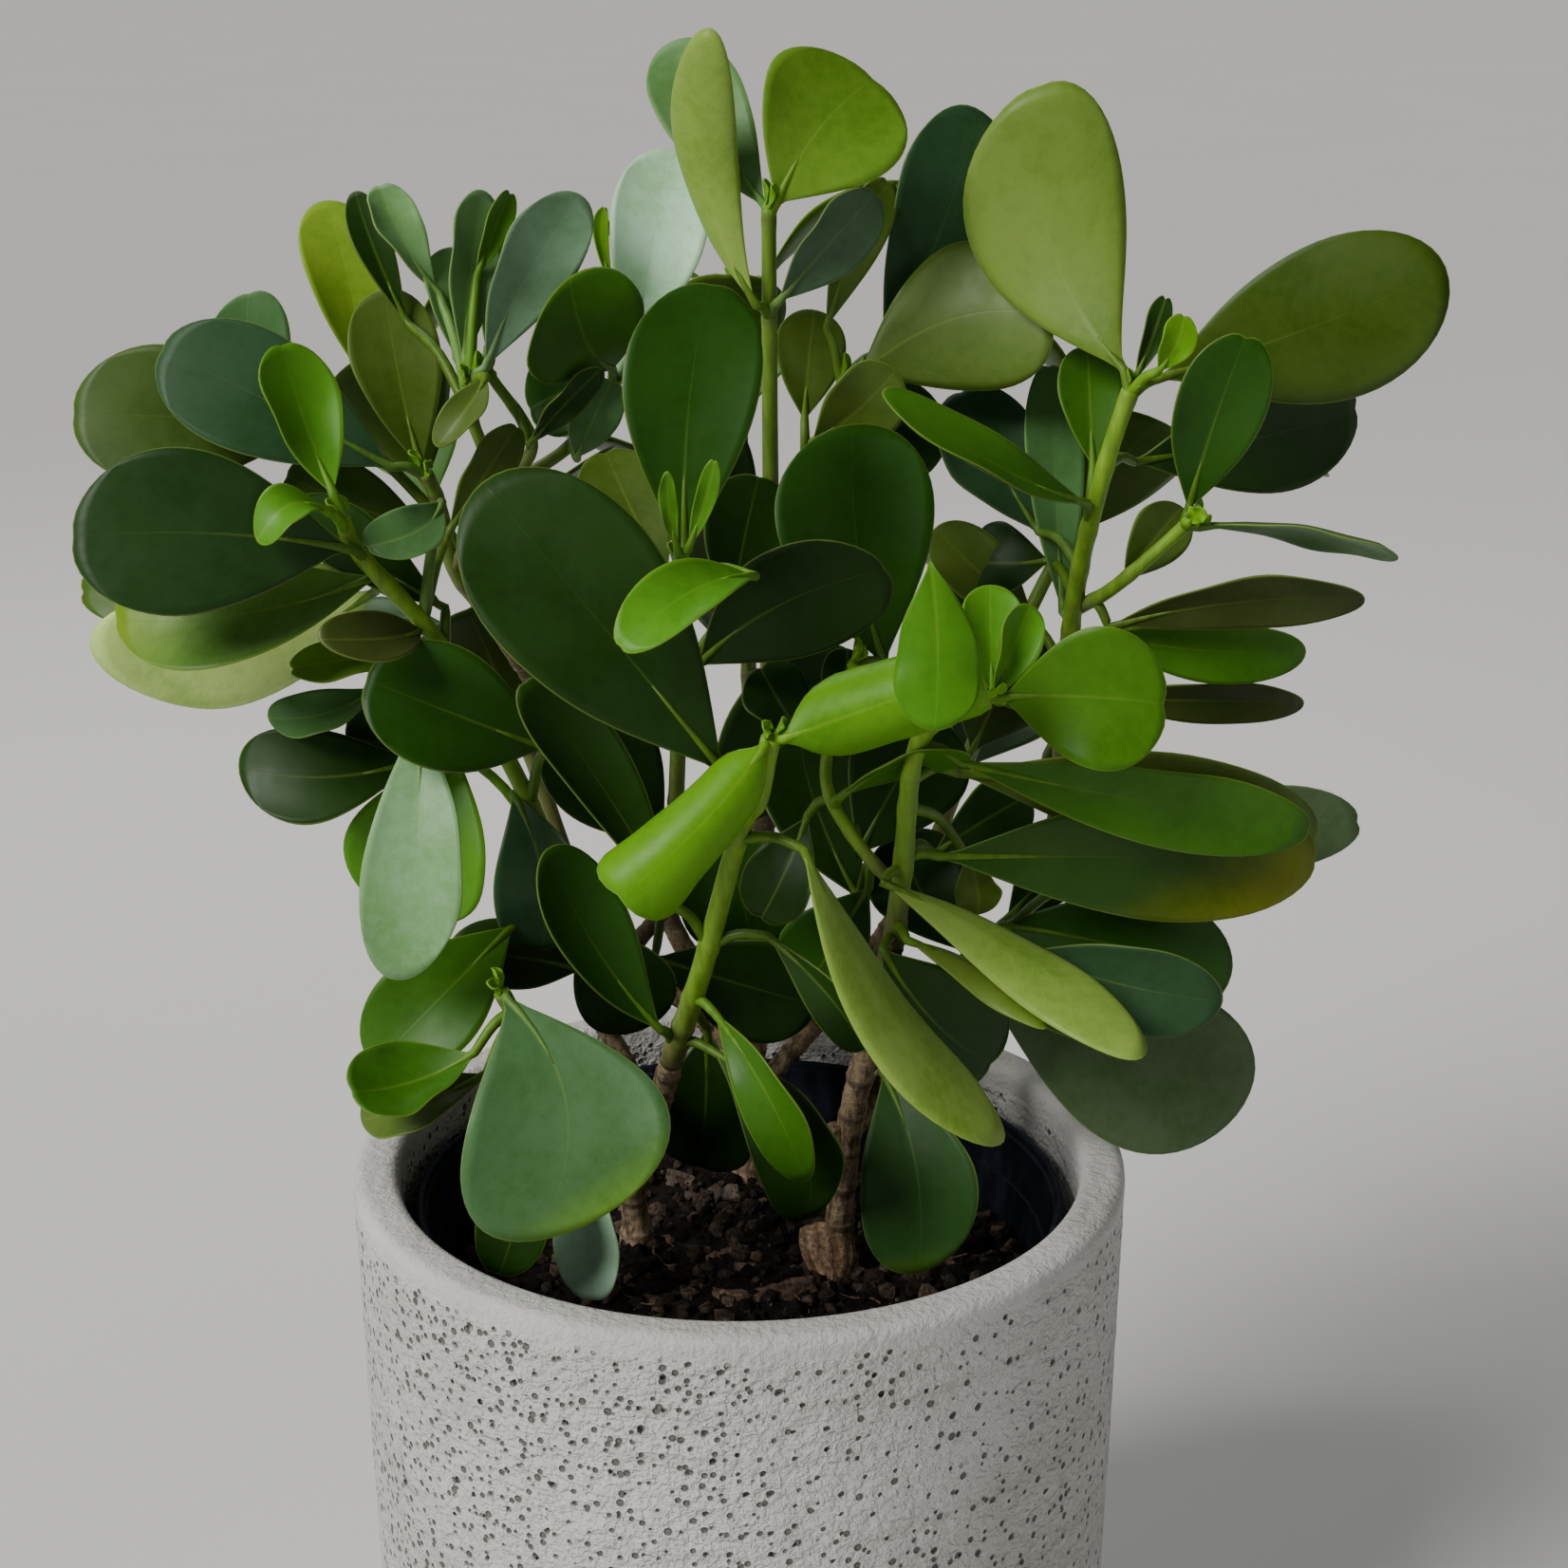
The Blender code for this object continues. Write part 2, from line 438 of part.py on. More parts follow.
def blade_form(base_place, tip_place, edges, roll, arch, curl, name, steepest=180):
    """The blade that has its edges at the two given points of the photograph.

    Nearly edge-on, the arch is what carries it sideways, otherwise a sway does.
    """
    base, tip = from_photo(base_place), from_photo(tip_place)
    run_x, run_y = tip_place[0] - base_place[0], tip_place[1] - base_place[1]
    run = math.hypot(run_x, run_y)
    scale = ((base + tip) / 2 - EYE).dot(LOOK) / PHOTO_FOCAL
    low, high = sorted(
        ((y - base_place[1]) * run_x - (x - base_place[0]) * run_y) / run * scale for x, y in edges
    )
    foot, end, starts, stops = curl if isinstance(curl, tuple) else (curl * 1.3, curl * 0.7, 0.25, 0.9)
    curls = (math.radians(min(foot, steepest)), math.radians(min(end, steepest)), starts, stops)
    face, side = math.cos(math.radians(roll)), math.sin(math.radians(roll))
    bend = curl_at(curls, BLADE_WIDEST)
    half_width = (high - low) / 2 * bend / (abs(face) * math.sin(min(bend, math.pi / 2)))
    lift = half_width * (1 - math.cos(bend)) / bend
    bow = 4 * BLADE_WIDEST * (1 - BLADE_WIDEST)
    middle = (high + low) / 2
    arch, sway = arch * MM, 0.0
    if abs(face) < 0.5:
        arch = (middle / side - lift) / bow
    else:
        sway = ((middle - side * (lift + bow * arch)) / face) / bow
    twist = math.radians(random.Random(name).uniform(-14, 14))
    return base, tip, half_width, arch, sway, curls, twist, leaf_frame(base, tip, roll)


def blade_point(blade, across_share, share):
    """The middle of the blade's thickness, and the normal there.

    across_share is -1 to 1 over the blade's greatest width, share 0 to 1 along it.
    """
    base, tip, half_width, arch, sway, curls, twist, frame = blade
    along, across, normal = frame
    turn = twist * (share - 0.5)
    out = across * math.cos(turn) + normal * math.sin(turn)
    face = normal * math.cos(turn) - across * math.sin(turn)
    curl = curl_at(curls, share)
    bend = across_share * curl
    bow = 4 * share * (1 - share)
    point = (
        base.lerp(tip, share)
        + normal * (bow * arch)
        + across * (bow * sway)
        + out * (half_width * math.sin(bend) / curl)
        + face * (half_width * (1 - math.cos(bend)) / curl)
    )
    return point, face * math.cos(bend) - out * math.sin(bend)


def leaf(name, node, blade):
    """One leaf with its petiole: rings of six vertices and a blunt end.

    Both faces of the blade are split into triangles alike.
    """
    base, tip, half_width, arch, sway, curls, twist, frame = blade
    along, across, normal = frame
    shape = bmesh.new()
    stalk = (base - node).normalized()
    stalk_side = (across - stalk * across.dot(stalk)).normalized()
    stalk_up = stalk_side.cross(stalk).normalized()
    turns = [math.pi * step / 3 for step in range(6)]
    rings = [
        [node + (stalk_side * math.cos(turn) + stalk_up * math.sin(turn)) * PETIOLE_RADIUS for turn in turns],
        [base + (across * math.cos(turn) * 1.3 + normal * math.sin(turn)) * PETIOLE_RADIUS for turn in turns],
    ]
    stations = LONG_BLADE_STATIONS if (tip - base).length > LONG_BLADE else SHORT_BLADE_STATIONS
    for station in stations[1:]:
        reach = blade_half_width(station)
        half = BLADE_THICKNESS / 2 * (1.15 - 0.35 * station)
        ring = []
        for share, side in ((1, 0), (0.5, 1), (-0.5, 1), (-1, 0), (-0.5, -1), (0.5, -1)):
            point, out = blade_point(blade, reach * share, station)
            ring.append(point + out * (side * half))
        rings.append(ring)
    rings = [[shape.verts.new(point) for point in ring] for ring in rings]
    for lower, upper in zip(rings, rings[1:]):
        for index in range(6):
            after = (index + 1) % 6
            a, b, c, d = lower[index], lower[after], upper[after], upper[index]
            if index < 3:
                shape.faces.new((a, b, c))
                shape.faces.new((a, c, d))
            else:
                shape.faces.new((a, b, d))
                shape.faces.new((b, c, d))
    end = shape.verts.new(tip)
    for index in range(6):
        shape.faces.new((rings[-1][index], rings[-1][(index + 1) % 6], end))
    shape.faces.new(list(reversed(rings[0])))
    return mesh_object(name, shape)


def fuse(name, parts):
    """One body made of all the parts, which are removed."""
    first, rest = parts[0], parts[1:]
    if rest:
        group = bpy.data.collections.new(name + "_parts")
        bpy.context.scene.collection.children.link(group)
        for part in rest:
            group.objects.link(part)
        union = first.modifiers.new("union", "BOOLEAN")
        union.operation = "UNION"
        union.operand_type = "COLLECTION"
        union.collection = group
        union.solver = "MANIFOLD"
        bpy.context.view_layer.update()
        evaluated = first.evaluated_get(bpy.context.evaluated_depsgraph_get())
        joined = bpy.data.meshes.new_from_object(evaluated)
        first.modifiers.clear()
        first.data = joined
        for part in rest:
            bpy.data.objects.remove(part, do_unlink=True)
        bpy.data.collections.remove(group)
    first.name = name
    first.data.name = name
    keep_largest_body(first.data)
    first.data.materials.clear()
    first.data.materials.append(material_for(name))
    return first


def keep_largest_body(mesh):
    """Drops the loose scraps that a union can leave."""
    shape = bmesh.new()
    shape.from_mesh(mesh)
    bmesh.ops.triangulate(shape, faces=[face for face in shape.faces if len(face.verts) > 3])
    left = set(shape.faces)
    bodies = []
    while left:
        body = set()
        queue = [left.pop()]
        while queue:
            face = queue.pop()
            body.add(face)
            for edge in face.edges:
                for other in edge.link_faces:
                    if other in left:
                        left.remove(other)
                        queue.append(other)
        bodies.append(body)
    bodies.sort(key=len)
    scraps = [face for body in bodies[:-1] for face in body]
    bmesh.ops.delete(shape, geom=scraps, context="FACES")
    shape.to_mesh(mesh)
    shape.free()


def turn_profile(profile, sides):
    """A mesh spun about the pot's axis from points of (radius, height) that start and end on it."""
    shape = bmesh.new()
    verts = [shape.verts.new((radius, 0, height)) for radius, height in profile]
    for first, second in zip(verts, verts[1:]):
        shape.edges.new((first, second))
    bmesh.ops.spin(
        shape, geom=list(shape.verts) + list(shape.edges), cent=(0, 0, 0), axis=(0, 0, 1),
        angle=2 * math.pi, steps=sides, use_merge=True,
    )
    bmesh.ops.remove_doubles(shape, verts=shape.verts, dist=MERGE_REACH)
    return shape


def turned_body(name, profile, sides):
    thing = mesh_object(name, turn_profile(profile, sides))
    thing.data.materials.append(material_for(name))
    thing.data.shade_smooth()
    thing.data.set_sharp_from_angle(angle=math.radians(35))
    return thing


def cover_pot():
    """Straight, slightly tapered wall with a softly rounded rim."""
    rim = POT_RIM_RADIUS
    mouth = POT_MOUTH_RADIUS
    foot = POT_FOOT_RADIUS
    top = POT_HEIGHT
    return turned_body("cover_pot", [
        (0, 0),
        (foot - 2.5 * MM, 0),
        (foot, 2.5 * MM),
        (rim, top - 3 * MM),
        (rim - 0.9 * MM, top - 0.8 * MM),
        (rim - 2.4 * MM, top),
        (mouth + 3.2 * MM, top),
        (mouth + 1.0 * MM, top - 1.2 * MM),
        (mouth, top - 4 * MM),
        (foot - 12 * MM, POT_FLOOR + 5 * MM),
        (foot - 17 * MM, POT_FLOOR),
        (0, POT_FLOOR),
    ], 34)


def nursery_radius(height):
    """Outer radius of the nursery pot's wall at a height."""
    foot = NURSERY_FOOT
    top = POT_HEIGHT - NURSERY_RIM_DEPTH
    share = (height - foot) / (top - foot)
    wall_top = NURSERY_RIM_RADIUS - NURSERY_LIP
    return NURSERY_FOOT_RADIUS + (wall_top - NURSERY_FOOT_RADIUS) * share


def nursery_pot():
    """Thin tapered plastic pot with a turned-out rim band."""
    foot = NURSERY_FOOT
    top = POT_HEIGHT - NURSERY_RIM_DEPTH
    band = top - 14 * MM
    rim = NURSERY_RIM_RADIUS
    wall = NURSERY_WALL
    return turned_body("nursery_pot", [
        (0, foot),
        (NURSERY_FOOT_RADIUS - 2 * MM, foot),
        (NURSERY_FOOT_RADIUS, foot + 2 * MM),
        (nursery_radius(band), band),
        (rim, band + 1.5 * MM),
        (rim, top - 0.6 * MM),
        (rim - 0.6 * MM, top),
        (rim - wall, top - 0.2 * MM),
        (rim - NURSERY_LIP - wall, band - 3 * MM),
        (nursery_radius(foot + 4 * MM) - wall, foot + 4 * MM),
        (nursery_radius(foot + 2 * MM) - wall - 2 * MM, foot + 2 * MM),
        (0, foot + 2 * MM),
    ], 24)


def soil_radius(height):
    """The inside of the nursery pot's wall, less the gap."""
    band = POT_HEIGHT - NURSERY_RIM_DEPTH - 17 * MM
    low = NURSERY_FOOT + 4 * MM
    upper = NURSERY_RIM_RADIUS - NURSERY_LIP - NURSERY_WALL
    lower = nursery_radius(low) - NURSERY_WALL
    return lower + (upper - lower) * (height - low) / (band - low) - GAP * 1.6


def soil():
    """The root ball: a lumpy top, fine below, that fills the nursery pot."""
    chance = random.Random(21)
    level = POT_HEIGHT - SOIL_DEPTH
    foot = NURSERY_FOOT + 2 * MM + GAP
    edge = soil_radius(level - 1 * MM)
    shape = turn_profile([
        (0, level + SOIL_DOME),
        (edge * 0.28, level + SOIL_DOME),
        (edge * 0.52, level + SOIL_DOME * 0.8),
        (edge * 0.74, level + SOIL_DOME * 0.5),
        (edge * 0.9, level + SOIL_DOME * 0.15),
        (edge, level),
        (soil_radius(foot + 4 * MM), foot + 4 * MM),
        (soil_radius(foot + 3 * MM) - 2.6 * MM, foot),
        (0, foot),
    ], 24)
    for vert in shape.verts:
        radius = math.hypot(vert.co.x, vert.co.y)
        if vert.co.z > level + 0.1 * MM and radius > 1 * MM:
            vert.co.z += chance.uniform(-1.1, 1.1) * MM
        elif vert.co.z > level - 1 * MM and radius > 1 * MM:
            vert.co.z += chance.uniform(-0.6, 0.2) * MM
    bmesh.ops.triangulate(shape, faces=shape.faces)
    body = mesh_object("soil", shape)
    body.data.materials.append(material_for("soil"))
    for index, stem in enumerate(WOOD):
        cut_hole(body, stem, index)
    return body


def cut_hole(body, stem, index):
    """A plain hole in the soil for the foot of a woody stem."""
    points, first_radius, last_radius = WOOD[stem][0]
    foot = wood_foot(points)
    radius = first_radius * MM * math.cos(math.pi / 8) + 0.45 * MM
    bottom = foot.z - GAP
    shape = bmesh.new()
    bmesh.ops.create_cone(
        shape, cap_ends=True, segments=8, radius1=radius + 0.4 * MM, radius2=radius + 0.4 * MM,
        depth=SOIL_HOLE_DEPTH * 2,
    )
    bmesh.ops.translate(shape, verts=shape.verts, vec=(foot.x, foot.y, bottom + SOIL_HOLE_DEPTH))
    cutter = mesh_object("hole_cutter", shape)
    cut = body.modifiers.new("hole_%d" % index, "BOOLEAN")
    cut.operation = "DIFFERENCE"
    cut.object = cutter
    bpy.context.view_layer.update()
    evaluated = body.evaluated_get(bpy.context.evaluated_depsgraph_get())
    joined = bpy.data.meshes.new_from_object(evaluated)
    body.modifiers.clear()
    body.data = joined
    body.data.name = "soil"
    bpy.data.objects.remove(cutter, do_unlink=True)


def wood_foot(points):
    """Where a woody stem ends in the soil, straight below its first point."""
    start = from_photo(points[0])
    return Vector((start.x, start.y, POT_HEIGHT - SOIL_DEPTH - SOIL_HOLE_DEPTH + 4 * MM))


def wood_path(points, index, steps=2):
    """A branch's points; the first branch also goes straight down into the soil."""
    places = [from_photo(point) for point in points]
    if index:
        return smooth_path(places, steps)
    foot = wood_foot(points)
    collar = Vector((foot.x, foot.y, POT_HEIGHT - SOIL_DEPTH + SOIL_DOME + 3 * MM))
    return [foot] + smooth_path([collar] + places[1:], steps)


def woody_branches(name):
    """Every branch of a woody stem: its points, then its radius at each end."""
    branches = [
        (wood_path(points, index), first_radius * MM, last_radius * MM)
        for index, (points, first_radius, last_radius) in enumerate(WOOD[name])
    ]
    if name == "woody_stem_back":
        for rule in BACK_SHOOTS.values():
            fork = path_point(branches[0][0], rule["fork"])
            end = Vector(rule["from"]) * MM
            bend = fork.lerp(end, 0.55) + Vector((0, 0, -4 * MM))
            branches.append((smooth_path([fork, bend, end], 2), 2.8 * MM, 2.5 * MM))
    return branches


def woody_stems():
    for name in WOOD:
        fuse(name, [
            stem_tube("%s_%d" % (name, index), path, first_radius, last_radius, 6 if index else 8)
            for index, (path, first_radius, last_radius) in enumerate(woody_branches(name))
        ])


def seated_path(seat, points, steps):
    """A green stem's path from the end face of the woody branch that carries it."""
    name, index = seat
    wood = woody_branches(name)[index][0]
    ahead = (wood[-1] - wood[-2]).normalized()
    foot = wood[-1] + ahead * GAP
    return [foot] + smooth_path([foot + ahead * 2 * MM] + points, steps)


def leafy_shoot(name, seat, stems, leaves):
    """A green stem with its branches and leaves, fused into one body."""
    parts = []
    paths = []
    for index, (points, first_radius, last_radius) in enumerate(stems):
        places = [from_photo(point) for point in points]
        path = smooth_path(places, 2) if index else seated_path(seat, places, 2)
        paths.append(path)
        parts.append(stem_tube("%s_stem_%d" % (name, index), path, first_radius * MM, last_radius * MM))
    for index, row in enumerate(leaves):
        stem, along, base, tip, first_edge, second_edge, roll, arch, curl = row
        title = "%s_leaf_%02d" % (name, index)
        blade = blade_form(
            base, tip, (first_edge, second_edge), roll, arch, curl, title, STEEPEST_CURL
        )
        if stem is None:
            node = blade[0] + (blade[0] - blade[1]).normalized() * 1.5 * MM
        else:
            node = path_point(paths[stem], along)
        parts.append(leaf(title, node, blade))
    return fuse(name, parts)


def back_shoot(name, seat, rule):
    """A shoot with pairs of leaves, each pair turned a quarter from the last."""
    chance = random.Random(rule["seed"])
    start = Vector(rule["from"]) * MM
    end = Vector(rule["to"]) * MM
    lean = (end - start).normalized()
    middle = start.lerp(end, 0.5) + Vector((0, 0, 8 * MM))
    path = seated_path(seat, [middle, end], 3)
    parts = [stem_tube(name + "_stem", path, 2.4 * MM, 1.8 * MM)]
    side = lean.cross(Vector((0, 1, 0))).normalized()
    out = side.cross(lean).normalized()
    for pair in range(BACK_PAIRS):
        share = 0.24 + 0.74 * pair / (BACK_PAIRS - 1)
        node = path_point(path, share)
        turn = math.radians(90 * pair + 90 + chance.uniform(-14, 14))
        for half in (0, 1):
            angle = turn + math.pi * half
            outward = side * math.cos(angle) + out * math.sin(angle)
            forward = max(0.0, -outward.y)
            aim = (outward + lean * (chance.uniform(0.3, 0.55) + 1.1 * forward)).normalized()
            length = (BACK_LEAF_LENGTH - 4 * pair) * chance.uniform(0.9, 1.1) * (1 - 0.3 * forward) * MM
            base = node + aim * 9 * MM
            parts.append(plain_leaf(
                "%s_leaf_%d_%d" % (name, pair, half), node, base, base + aim * length,
                (BACK_LEAF_WIDTH - 2 * pair) * chance.uniform(0.92, 1.08), lean
            ))
    return fuse(name, parts)


def plain_leaf(name, node, base, tip, width, upward):
    """A leaf whose upper face looks along its stem, by the roll that gives this."""
    along, across, normal = leaf_frame(base, tip, 0)
    roll = math.degrees(math.atan2(upward.dot(across), upward.dot(normal)))
    twist = math.radians(random.Random(name).uniform(-14, 14))
    curls = (math.radians(26), math.radians(14), 0.25, 0.9)
    blade = (base, tip, width * MM / 2, 5 * MM, 0.0, curls, twist, leaf_frame(base, tip, roll))
    return leaf(name, node, blade)


def build():
    clear_scene()
    cover_pot()
    nursery_pot()
    soil()
    woody_stems()
    for name, shoot in SHOOTS.items():
        leafy_shoot(name, shoot["seat"], shoot["stems"], shoot["leaves"])
    for index, (name, rule) in enumerate(BACK_SHOOTS.items()):
        back_shoot(name, ("woody_stem_back", len(WOOD["woody_stem_back"]) + index), rule)


build()
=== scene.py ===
"""Looks of the potted clusia: leaves, stems, soil and pots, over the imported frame."""

import math
import random
import bmesh
import bpy
from mathutils import Matrix, Vector, noise


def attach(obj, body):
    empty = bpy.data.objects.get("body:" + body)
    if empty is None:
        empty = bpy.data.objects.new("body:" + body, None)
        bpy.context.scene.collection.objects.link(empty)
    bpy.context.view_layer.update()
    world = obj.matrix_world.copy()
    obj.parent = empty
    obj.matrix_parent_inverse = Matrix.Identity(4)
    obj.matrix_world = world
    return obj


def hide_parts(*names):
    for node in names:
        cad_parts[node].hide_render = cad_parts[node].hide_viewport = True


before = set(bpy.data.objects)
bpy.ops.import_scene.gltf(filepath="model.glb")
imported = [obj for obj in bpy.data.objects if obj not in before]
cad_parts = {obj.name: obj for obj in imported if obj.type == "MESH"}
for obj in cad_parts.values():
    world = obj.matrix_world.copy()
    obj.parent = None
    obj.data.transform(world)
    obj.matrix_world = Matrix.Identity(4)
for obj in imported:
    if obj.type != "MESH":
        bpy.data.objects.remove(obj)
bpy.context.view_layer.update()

MM = 0.001

# Sizes shared with the part's source
POT_HEIGHT = 185 * MM
POT_RIM_RADIUS = 100 * MM
POT_FOOT_RADIUS = 96.5 * MM
POT_MOUTH_RADIUS = 88.2 * MM
POT_FLOOR = 14 * MM
NURSERY_RIM_RADIUS = 84 * MM
NURSERY_LIP = 3.5 * MM
NURSERY_WALL = 1.6 * MM
NURSERY_FOOT_RADIUS = 62 * MM
NURSERY_RIM_DEPTH = 11 * MM
NURSERY_FOOT = POT_FLOOR + 0.3 * MM
SOIL_DEPTH = 35 * MM
SOIL_DOME = 3 * MM
SOIL_HOLE_DEPTH = 26 * MM
SOIL_LEVEL = POT_HEIGHT - SOIL_DEPTH
BLADE_WIDEST = 0.64
BLADE_WEDGE = 1.05
GAP = 0.3 * MM

# The photograph's camera, fitted to the pot's rim
PHOTO_SIZE = 1652
PHOTO_MIDDLE = PHOTO_SIZE / 2
PHOTO_FOCAL = 3000
EYE = Vector((0.0, -674.3 * MM, POT_HEIGHT + 323.8 * MM))
EYE_PITCH = math.radians(18.35)
EYE_YAW = math.radians(0.97)
LOOK = Vector((
    math.sin(EYE_YAW) * math.cos(EYE_PITCH),
    math.cos(EYE_YAW) * math.cos(EYE_PITCH),
    -math.sin(EYE_PITCH),
))
LOOK_RIGHT = Vector((math.cos(EYE_YAW), -math.sin(EYE_YAW), 0.0))
LOOK_UP = LOOK_RIGHT.cross(LOOK)

# Leaf colours: the upper face, then the underside
TONES = {
    "dark": ((0.0095, 0.0360, 0.0012), (0.022, 0.046, 0.003)),
    "deep": ((0.0150, 0.0680, 0.0010), (0.028, 0.060, 0.004)),
    "mid": ((0.0360, 0.1250, 0.0030), (0.045, 0.092, 0.005)),
    "bright": ((0.0700, 0.2300, 0.0060), (0.065, 0.145, 0.005)),
    "fresh": ((0.1100, 0.2300, 0.0140), (0.080, 0.160, 0.012)),
    "lime": ((0.1150, 0.3000, 0.0010), (0.092, 0.260, 0.0008)),
    "flap": ((0.0600, 0.2100, 0.0020), (0.065, 0.180, 0.003)),
    "moss": ((0.0520, 0.1050, 0.0140), (0.040, 0.072, 0.006)),
    "olive": ((0.0660, 0.1150, 0.0130), (0.040, 0.076, 0.005)),
    "brown": ((0.0360, 0.0520, 0.0070), (0.040, 0.056, 0.009)),
    "blue": ((0.0210, 0.0620, 0.0210), (0.036, 0.066, 0.022)),
    "slate": ((0.0620, 0.1250, 0.0620), (0.060, 0.105, 0.045)),
    "grey": ((0.0560, 0.1450, 0.0400), (0.060, 0.105, 0.030)),
    "greying": ((0.0620, 0.1600, 0.0480), (0.060, 0.105, 0.030)),
    "silver": ((0.1900, 0.3600, 0.1650), (0.170, 0.280, 0.140)),
    "sheen": ((0.4800, 0.7800, 0.5100), (0.170, 0.280, 0.140)),
    "pale": ((0.0560, 0.1200, 0.0080), (0.125, 0.210, 0.026)),
    "paler": ((0.0560, 0.1200, 0.0080), (0.200, 0.320, 0.050)),
    "cream": ((0.0560, 0.1200, 0.0080), (0.440, 0.640, 0.170)),
    "mint": ((0.1250, 0.2700, 0.0850), (0.110, 0.180, 0.060)),
    "steel": ((0.1200, 0.2250, 0.1250), (0.060, 0.105, 0.045)),
    "lemon": ((0.1900, 0.3300, 0.0200), (0.110, 0.200, 0.020)),
    # The next tone is the leaf's own greener colour, made lighter as painted light that lifts the shadow cast
    # on it by the leaf above
    "meadow_lit": ((0.0760, 0.1750, 0.0230), (0.070, 0.150, 0.012)),
    "turning": ((0.0240, 0.0720, 0.0060), (0.055, 0.095, 0.008)),
    "ash": ((0.0760, 0.1260, 0.0520), (0.060, 0.105, 0.030)),
    "forest": ((0.0150, 0.0500, 0.0070), (0.022, 0.046, 0.003)),
    "sage": ((0.0560, 0.1200, 0.0080), (0.080, 0.138, 0.018)),
    "spring": ((0.0480, 0.1450, 0.0020), (0.065, 0.145, 0.005)),
    "limetip": ((0.0230, 0.0700, 0.0140), (0.050, 0.095, 0.010)),
}
# Patches of another colour towards the tip: the colour, where it starts, its lean to a side
PATCHES = {
    "turning": ((0.120, 0.150, 0.004), 0.66, 0.30),
    "greying": ((0.120, 0.250, 0.012), 0.86, -0.30),
    "limetip": ((0.120, 0.260, 0.005), 0.88, 0.0),
    "meadow_lit": ((0.145, 0.255, 0.010), 0.6, 0.15),
}
MARGIN_COLOUR = (0.22, 0.32, 0.05)
STEM_GREEN = (0.125, 0.230, 0.020)
STEM_LIME = (0.170, 0.330, 0.014)
STEM_BROWN = (0.130, 0.115, 0.045)
SCAR_COLOUR = (0.080, 0.053, 0.024)

# Woody stems. A path is a list of (x, y, front), then the radius in mm at its
# start and at its end. The first path of each goes into the soil.
WOOD = {
    "woody_stem_left": [
        ([(672, 1335, -12), (668, 1250, -9), (690, 1178, 4), (707, 1119, 18)], 3.9, 3.0),
        ([(690, 1178, 4), (640, 1085, -12), (632, 1052, -16)], 3.0, 2.6),
        ([(640, 1085, -12), (660, 1010, -30), (697, 962, -34)], 2.6, 2.2),
        ([(684, 1195, 1), (655, 1182, 10)], 2.8, 2.4),
    ],
    "woody_stem_right": [
        ([(885, 1345, 4), (885, 1282, 5), (893, 1200, 8), (912, 1110, 12), (940, 997, 18)], 4.0, 3.0),
        ([(893, 1200, 8), (941, 1120, 4)], 2.8, 2.4),
        ([(900, 1165, 9), (975, 1095, -24), (1062, 985, -42), (1106, 895, -48), (1118, 800, -46)], 3.0, 2.4),
        ([(890, 1230, 7), (877, 1187, 10)], 2.6, 2.2),
    ],
    "woody_stem_back": [
        ([(790, 1290, -52), (792, 1130, -56), (802, 940, -60), (808, 760, -58)], 4.2, 2.8),
        ([(792, 1130, -56), (700, 960, -62), (600, 780, -58), (520, 655, -48)], 3.0, 2.4),
    ],
}

